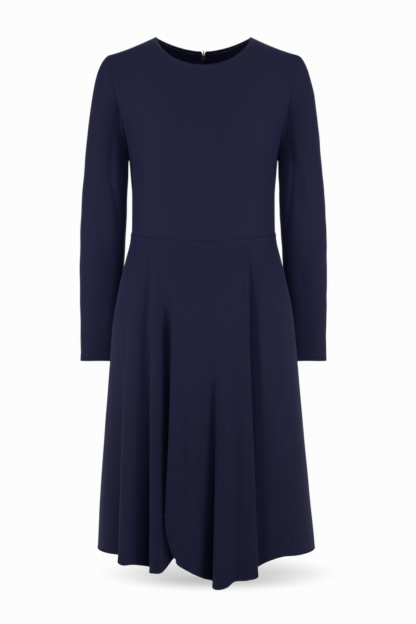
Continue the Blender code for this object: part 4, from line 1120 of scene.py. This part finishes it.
for word, side in (("left", -1), ("right", 1)):
    degrees = np.linspace(0, 360, 112 // FINE + 1)
    was = sleeve(degrees[None, :], DOWNS[:, None])
    was[:, -1] = was[:, 0]
    if side < 0:
        was = was[:, ::-1] * [-1, 1, 1]
    normal = outward(was, (side * 200, 20), around=True)
    # the arm's front is flatter than an oval: fuller towards its two front corners
    turn = degrees if side > 0 else degrees[::-1]
    corner = np.sin(np.radians(turn) * 2) ** 2 * (np.sin(np.radians(turn)) > 0)
    full = FULL * corner[None, :] * soften((DOWNS[:, None] - 0.35) / 0.65)
    was = was + normal * full[..., None]
    p = creased(was, normal, SLEEVE_CREASES[word], True, 11 + side)
    move = ripple(p, 5 + side, 120, 0.4)
    for path in BACK_CREASES[word]:
        move = move + crease(was, normal, path, front=False)
    p = hold(p + normal * move[..., None], was, "last row", reach=14)
    p = hold(p, was, "first row", reach=20)
    p = p + drawn_in(from_edge(p, "last row"), turn, side, 0)
    p[:, -1] = p[:, 0]
    normal = outward(p, (side * 200, 20), around=True)
    shared = armhole_normals(turn, side)
    near = np.exp(-((from_edge(p, "last row") / 4.5) ** 2))[..., None]
    normal = unit(normal * (1 - near) + shared[None] * near)
    normal[:, -1] = normal[:, 0]
    cuff = from_edge(p, "first row")
    out = CLOTH + turned(cuff, CUFF_TURN, 0.3) + sewn(cuff, 13.4) + sewn(cuff, 15.6, sink=0.35)
    into = CLOTH + turned(cuff, CUFF_TURN, 0.8)
    obj = shell(f"jersey_sleeve_{word}", p, normal, (out, into), JERSEY, (0, 0, 1.0, 0.1), around=True)
    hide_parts(f"sleeve_{word}")
    pieces[f"sleeve_{word}"] = obj
    lines = [line_at(p, normal, out, cuff, at) for at in (13.4, 15.6)]
    threads(f"thread_cuff_{word}", lines, 2.6, 2.2, 0.17, THREAD)

# ---------------------------------------------------------------- skirt

SKIRT_CREASES = {
    "skirt_front_over": [
        table(CREASE, (150, -972, 5, 0.0), (157, -977, 6, 2.6), (166, -985, 5, 0.6)),
        table(CREASE, (166, -962, 4, 0.0), (169, -974, 5, -1.8), (169, -990, 4, -0.8)),
        table(CREASE, (148, -985, 4, 0.0), (157, -989, 4, -1.2), (166, -994, 4, -0.4)),
        table(CREASE, (-26, -620, 8, 0.0), (-30, -720, 9, -1.8), (-35, -860, 9, -2.0), (-42, -970, 8, -0.6)),
        table(CREASE, (-15, -650, 7, 0.0), (-15, -760, 7, 1.2), (-13, -880, 7, 1.2), (-12, -960, 7, 0.0)),
        table(CREASE, (-2, -690, 7, 0.0), (-2, -800, 8, -1.0), (-3, -920, 7, -0.6)),
        table(CREASE, (66, -640, 8, 0.0), (62, -760, 9, -1.4), (64, -880, 9, -1.2), (62, -980, 8, 0.0)),
        table(CREASE, (78, -388, 4, 0.0), (80, -430, 4.5, 1.5), (84, -500, 5, 1.2), (87, -590, 5, 0.0)),
        table(CREASE, (86, -388, 4, 0.0), (88, -430, 4.5, -2.2), (92, -500, 5, -1.8), (95, -590, 5, 0.0)),
        table(CREASE, (112, -414, 6, 0.0), (112, -480, 6, 1.8), (113, -580, 7, 1.8), (114, -680, 7, 0.0)),
        table(CREASE, (126, -424, 5, 0.0), (128, -460, 5, -1.8), (131, -520, 6, -1.4), (134, -600, 6, 0.0)),
        table(CREASE, (150, -500, 8, 0.0), (156, -580, 8, 1.9), (160, -660, 8, 1.6), (163, -740, 8, 0.0)),
        table(CREASE, (146, -640, 9, 0.0), (150, -740, 10, -1.1), (158, -860, 9, 0.0)),
    ],
    "skirt_front_under": [
        table(CREASE, (-104, -392, 4, 0.0), (-105, -430, 4.5, -1.7), (-107, -500, 5, -1.7), (-108, -590, 5, 0.0)),
        table(CREASE, (-96, -392, 4, 0.0), (-97, -430, 4.5, 1.3), (-99, -500, 5, 1.0), (-101, -590, 5, 0.0)),
        table(CREASE, (-124, -398, 8, 0.0), (-131, -470, 9, 1.3), (-137, -580, 9, 1.6), (-140, -700, 8, 0.0)),
        table(CREASE, (-108, -470, 6, 0.0), (-111, -540, 7, -1.8), (-112, -640, 7, -2.0), (-112, -740, 6, 0.0)),
        table(CREASE, (-147, -880, 7, 0.0), (-148, -940, 8, 1.0), (-147, -1000, 7, 0.8)),
        table(CREASE, (-190, -800, 8, 0.0), (-194, -880, 9, 1.0), (-196, -970, 8, 0.6)),
    ],
    "skirt_back_left": [
        table(CREASE, (-30, -396, 8, 0.0), (-31, -470, 9, -1.2), (-30, -560, 8, 0.0)),
        table(CREASE, (-64, -400, 8, 0.0), (-72, -486, 9, -1.3), (-78, -580, 8, 0.0)),
    ],
    "skirt_back_right": [
        table(CREASE, (28, -398, 8, 0.0), (30, -478, 9, -1.1), (31, -570, 8, 0.0)),
        table(CREASE, (84, -400, 8, 0.0), (96, -490, 9, -1.4), (102, -600, 8, 0.0)),
    ],
}
DOWN = steps(1, (0.986, 12), (0.03, 124), (0, 12))
hem_lines = []
HEM_STITCH = 5.0
LAP_TOP = -480.0  # above this the lap lies so flat that its edge doesn't show
SLIT_TOP = -940.0

for node, rows, kind in (
    ("skirt_front_over", FRONT_OVER, {"lap": True}),
    ("skirt_front_under", FRONT_UNDER, {}),
    ("skirt_back_left", BACK_LEFT, {"back": True}),
    ("skirt_back_right", BACK_RIGHT, {"back": True}),
):
    back = "back" in node
    if node == "skirt_front_under":
        rows = dict(rows)
        rows["out_waist"] = rows["out_waist"].copy()
        rows["out_waist"][11:] = (-0.15, -1.5)
    last = len(rows["cells"]) - 1
    wide = np.abs(np.diff(rows["across_hem"]))
    folds = [0.0]
    for i in range(last):
        n = max(4, int(round(max(wide[i], 12) / 2.1)) // FINE)
        folds += [i + (k + 1) / n for k in range(n)]
    folds = np.array(folds)
    was = skirt(rows, folds[None, :], DOWN[:, None], **kind)
    normal = outward(was, (0, -8))
    p = creased(was, normal, SKIRT_CREASES[node], not back, len(node))
    p = hold(p, was, "last row", reach=12)
    if node == "skirt_front_over":
        p = hold(p, was, "last column", reach=7)
    elif node == "skirt_front_under":
        p = hold(p, was, "first column", reach=7)
    else:
        p = hold(p, was, "first column", "last column", reach=7)
    normal = outward(p, (0, -8))
    hem, waist = from_edge(p, "first row"), from_edge(p, "last row")
    out = CLOTH + turned(hem, HEM_TURN, 0.3) + sewn(hem, HEM_STITCH, sink=0.35) + 0.3 * np.exp(-((hem / 1.2) ** 2))
    into = CLOTH + turned(hem, HEM_TURN, 0.55)
    # the seam allowance of the waist lies downwards, under the top of the skirt
    out = out + turned(waist, 9, 0.65) - 0.75 * np.exp(-((waist / 1.5) ** 2))
    edges = [0.1, 0.1, 1.0, 0.4]
    if node == "skirt_front_over":
        free = from_edge(p, "first column")
        slit = soften((SLIT_TOP + 40 - p[:, :1, 2]) / 30)
        flat = soften((p[:, :1, 2] - LAP_TOP + 60) / 60)
        out = out + (1 - flat) * turned(free, HEM_TURN, 0.18) + slit * sewn(free, HEM_STITCH, sink=0.3)
        into = into + (1 - flat) * turned(free, HEM_TURN, 0.5) - flat * 1.12 * np.clip(1 - free / 12, 0, 1)
        edges[0] = 1 - 0.9 * flat[:, 0]
        rows_in = np.flatnonzero((p[:, 0, 2] < SLIT_TOP + 30) & (hem[:, 0] > HEM_STITCH + 4))
        hem_lines.append(line_at(p[rows_in], normal[rows_in], out[rows_in], free[rows_in], HEM_STITCH, axis=1))
    elif back:
        fold = from_edge(p, "first column" if node.endswith("right") else "last column")
        into = into + turned(fold, 13, 0.5)
    obj = shell(f"jersey_{node}", p, normal, (out, into), JERSEY, edges)
    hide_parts(node)
    pieces[node] = obj
    hem_lines.append(line_at(p, normal, out, hem, HEM_STITCH))
    if node == "skirt_front_over":
        lap = p + normal * out[..., None]
threads("thread_hem", hem_lines, 3.0, 2.5, 0.16, THREAD)


def bar_tack(height):
    """Close stitches side by side over the free edge of the lap, at the top of the slit."""
    lines = []
    for k in range(7):
        z = height + (k - 3) * 0.5
        row = int(np.searchsorted(lap[:, 0, 2], z))
        share = (z - lap[row - 1, 0, 2]) / (lap[row, 0, 2] - lap[row - 1, 0, 2])
        line = lap[row - 1] * (1 - share) + lap[row] * share
        run = np.concatenate([[0], np.cumsum(np.linalg.norm(np.diff(line, axis=0), axis=1))])
        at = np.linspace(0.2, 4.4, 8) + 0.25 * (k % 2)
        line = np.stack([np.interp(at, run, line[:, i]) for i in range(3)], axis=-1)
        lines.append((line, np.broadcast_to(unit(np.array([-0.25, -1.0, 0.0])), line.shape)))
    return lines


threads("thread_bar_tacks", bar_tack(-923.6) + bar_tack(-942.0), 4.2, 4.4, 0.3, TACK)

# ---------------------------------------------------------------- zip

PITCH = 1.35  # from one tooth of the coil to the next
TOOTH_LONG, TOOTH_RADIUS = 2.3, 0.42


def tape_edge(side):
    """A back panel's centre line and the next line beside it, from the zip's end to the neck edge."""
    rows = BACK_RIGHT if side > 0 else BACK_LEFT
    last = len(rows["cells"]) - 1
    pair = np.array([0.0, 1.0]) if side > 0 else np.array([last, last - 1.0])
    low = skirt(rows, pair[None, :], np.linspace(1, 0, 260)[:, None], back=True)
    low = low[low[:, 0, 2] > ZIP_END]
    high = bodice(side * np.array([[0.0, 0.1]]), np.linspace(-1, 1, 240)[:, None], True)
    column = np.concatenate([low[:-1], high])
    below = np.linalg.norm(column[:, 0] - column[-1, 0], axis=-1)
    column[:, 0, 0] += side * monotone(MOUTH["below"], MOUTH["half"], below)
    return column


def tape_points(side, run, wide):
    """The middle of one tape [row, column, xyz] at those distances from its top and from its edge, and the ways
    along it, across it and into the dress."""
    column = tape_edge(side)
    across = unit(column[:, 1] - column[:, 0])
    up = unit(np.gradient(column[:, 0], axis=0))
    into = np.cross(across, up)
    into *= -np.sign(into[:, 1:2])
    into = unit(into)
    edge = column[:, 0] + across * 0.15 + into * (WALL / 2 + TAPE_CLEAR + TAPE_WALL / 2)
    below = np.concatenate([[0], np.cumsum(np.linalg.norm(np.diff(edge[::-1], axis=0), axis=1))])

    def read(values):
        return np.stack([np.interp(run, below, values[::-1, k]) for k in range(3)], axis=-1)

    e, a, n = read(edge), unit(read(across)), unit(read(into))
    return e[:, None] + a[:, None] * np.asarray(wide)[None, :, None], a, n, below[-1]


def teeth(name, side):
    """One side of the coil: small round loops across the tape's edge, on its inner side."""
    full = tape_points(side, np.array([1.0]), [0.0])[3]
    run = np.arange(2.5 + (0.5 * PITCH if side > 0 else 0), full - 3, PITCH)
    run = run[np.abs(run - SLIDER_BELOW) > SLIDER_LENGTH / 2 + 0.4]
    e, a, n, _ = tape_points(side, run, [0.0])
    e = e[:, 0]
    t = np.cross(a, n)
    verts = []
    sides = 6
    for s, grow in ((-0.25, 0.55), (0.0, 1.15), (0.45, 0.9), (1.0, 0.75), (1.15, 0.35)):
        middle = e + a * (s * TOOTH_LONG) + n * (TAPE_WALL / 2 + TOOTH_RADIUS * 0.8)
        for q in range(sides):
            angle = 2 * math.pi * q / sides
            verts.append(middle + (n * math.cos(angle) + t * math.sin(angle)) * TOOTH_RADIUS * grow)
    verts = np.stack(verts, axis=1)
    faces = []
    for k in range(4):
        for q in range(sides):
            r = (q + 1) % sides
            faces.append((k * sides + q, (k + 1) * sides + q, (k + 1) * sides + r, k * sides + r))
    for k, order in ((0, (0, 1, 2, 3)), (0, (0, 3, 4, 5)), (4, (3, 2, 1, 0)), (4, (5, 4, 3, 0))):
        faces.append(tuple(k * sides + q for q in order))
    faces = np.array(faces)
    test = verts[0][faces[0]]
    out = np.cross(test[1] - test[0], test[2] - test[1])
    if (out * (test.mean(axis=0) - verts[0].mean(axis=0))).sum() < 0:
        faces = faces[:, ::-1]
    faces = (faces[None] + (np.arange(len(verts)) * verts.shape[1])[:, None, None]).reshape(-1, 4)
    return raw(name, verts.reshape(-1, 3), faces, COIL)


for word, side in (("left", -1), ("right", 1)):
    full = tape_points(side, np.array([1.0]), [0.0])[3]
    run = np.linspace(full, 1.2, 360 // FINE)
    wide = steps(0, (TAPE_WIDTH, 14))
    p, a, n, _ = tape_points(side, run, wide)
    normal = -np.broadcast_to(n[:, None], p.shape)
    if side < 0:
        p, normal = p[:, ::-1], normal[:, ::-1]
    away = from_edge(p, "last column" if side < 0 else "first column")
    half = TAPE_WALL / 2 - 0.05
    out = half + 0.1 * np.exp(-(((away - 9.6) / 0.5) ** 2)) + 0.08 * np.exp(-(((away - 3.1) / 0.4) ** 2))
    obj = shell(f"zip_tape_woven_{word}", p, normal, (out, out), TAPE, (1, 1, 1, 1))
    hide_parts(f"zip_tape_{word}")
    pieces[f"zip_tape_{word}"] = obj
    teeth(f"zip_coil_{word}", side)
    lines = [line_at(p, -normal, out, away, at, axis=1) for at in (4.0,)]
    threads(f"thread_zip_{word}", lines, 2.6, 2.1, 0.16, THREAD)

for node in ("zip_slider", "zip_pull"):
    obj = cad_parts[node]
    obj.data.materials.clear()
    obj.data.materials.append(METAL)

# ---------------------------------------------------------------- floor, light and camera

FLOOR = -1.080
WHITE = 0.978


def studio():
    bpy.ops.mesh.primitive_circle_add(vertices=96, radius=60.0, fill_type="NGON", location=(0, 0, FLOOR))
    floor = bpy.context.object
    floor.name = "studio_floor"
    m = Nodes("studio_floor")
    place = m.new("ShaderNodeTexCoord").outputs["Object"]
    parts = m.new("ShaderNodeSeparateXYZ", Vector=place)
    # painted shadow: the lit floor, with the skirt's real shadow, shows only inside an ellipse centred a little behind
    # the skirt, mixed there with evenly bright white, so the shadow's place and shape are partly painted; the rest is
    # evenly bright
    wide = m.math("DIVIDE", m.math("SUBTRACT", parts.outputs["X"], 0.03), 0.27)
    deep = m.math("DIVIDE", m.math("SUBTRACT", parts.outputs["Y"], 0.26), 0.37)
    far = m.math("SQRT", m.math("ADD", m.math("POWER", wide, 2.0), m.math("POWER", deep, 2.0)))
    painted_shadow_mix = m.new("ShaderNodeMapRange", Value=far, interpolation_type="SMOOTHSTEP")
    painted_shadow_mix.inputs["From Min"].default_value = 0.35
    painted_shadow_mix.inputs["From Max"].default_value = 1.0
    m.shader.inputs["Base Color"].default_value = (0.86, 0.86, 0.86, 1)
    m.shader.inputs["Roughness"].default_value = 1.0
    m.shader.inputs["Specular IOR Level"].default_value = 0.0
    glow = m.new("ShaderNodeEmission", Color=(1, 1, 1, 1), Strength=WHITE)
    mix = m.new("ShaderNodeMixShader")
    m.tree.links.new(painted_shadow_mix.outputs[0], mix.inputs[0])
    m.tree.links.new(m.shader.outputs[0], mix.inputs[1])
    m.tree.links.new(glow.outputs[0], mix.inputs[2])
    # painted bounce light: for all but camera rays the floor glows, and a painted shadow, the same ellipse, makes the
    # glow weaker under and behind the skirt
    painted_bounce_strength = m.new("ShaderNodeMapRange", Value=far, interpolation_type="SMOOTHSTEP")
    for key, value in (("From Min", 0.5), ("From Max", 1.6), ("To Min", 0.06), ("To Max", 0.8)):
        painted_bounce_strength.inputs[key].default_value = value
    # painted bounce light: a glow of the floor that only rays other than camera rays see
    painted_bounce_glow = m.new("ShaderNodeEmission", Color=(1, 1, 1, 1), Strength=painted_bounce_strength.outputs[0])
    seen = m.new("ShaderNodeLightPath").outputs["Is Camera Ray"]
    # at its middle the painted shadow ellipse keeps 40 % of the bright white
    painted_shadow_mix.inputs["To Min"].default_value = 0.4
    final = m.new("ShaderNodeMixShader")
    m.tree.links.new(seen, final.inputs[0])
    m.tree.links.new(painted_bounce_glow.outputs[0], final.inputs[1])
    m.tree.links.new(mix.outputs[0], final.inputs[2])
    m.tree.links.new(final.outputs[0], m.tree.nodes["Material Output"].inputs["Surface"])
    floor.data.materials.append(m.material)

    world = bpy.data.worlds.new("studio")
    bpy.context.scene.world = world
    world.use_nodes = True
    tree = world.node_tree
    background = tree.nodes["Background"]
    background.inputs["Color"].default_value = (1, 1, 1, 1)
    path = tree.nodes.new("ShaderNodeLightPath")
    level = tree.nodes.new("ShaderNodeMix")
    level.inputs[2].default_value = 0.155
    level.inputs[3].default_value = WHITE
    tree.links.new(path.outputs["Is Camera Ray"], level.inputs[0])
    tree.links.new(level.outputs[0], background.inputs["Strength"])

    def area(name, place, aim, size, power, spread=180):
        light = bpy.data.lights.new(name, "AREA")
        light.shape = "RECTANGLE"
        light.size, light.size_y = size
        light.energy = power
        light.spread = math.radians(spread)
        obj = bpy.data.objects.new(name, light)
        obj.location = place
        obj.rotation_euler = (Vector(aim) - Vector(place)).to_track_quat("-Z", "Y").to_euler()
        bpy.context.scene.collection.objects.link(obj)

    area("side_left", (-2.9, -1.6, 0.3), (0, 0, -0.18), (1.2, 1.4), 13.4, spread=90)
    area("side_right", (2.9, -1.5, 0.3), (0, 0, -0.18), (1.2, 1.4), 13, spread=90)
    area("front_left", (-1.7, -3.9, 0.5), (0, 0, -0.12), (1.4, 1.2), 0.92, spread=26)
    area("front_right", (1.5, -3.9, 0.5), (0, 0, -0.12), (1.4, 1.2), 0.81, spread=26)
    area("low_left", (-0.9, -2.2, -0.7), (-0.21, 0.05, -0.5), (0.3, 0.4), 0.12, spread=16)
    area("low_right", (0.9, -2.2, -0.7), (0.21, 0.05, -0.5), (0.3, 0.4), 0.1, spread=16)
    area("top", (0, 0.2, 2.6), (0, 0, -0.5), (2.2, 1.8), 20.5)
    area("back", (0.4, 3.4, 0.8), (0, 0, -0.45), (2.4, 2.0), 38)


def camera():
    data = bpy.data.cameras.new("camera")
    obj = bpy.data.objects.new("camera", data)
    bpy.context.scene.collection.objects.link(obj)
    obj.location = (0.0092, -4.5, -0.53)
    obj.rotation_euler = (math.pi / 2, 0, 0)
    data.lens = 129.8
    data.sensor_width = 36.0
    data.clip_end = 200.0
    bpy.context.scene.camera = obj


studio()
camera()
bpy.context.scene.view_settings.view_transform = "Standard"
bpy.context.scene.view_settings.look = "None"
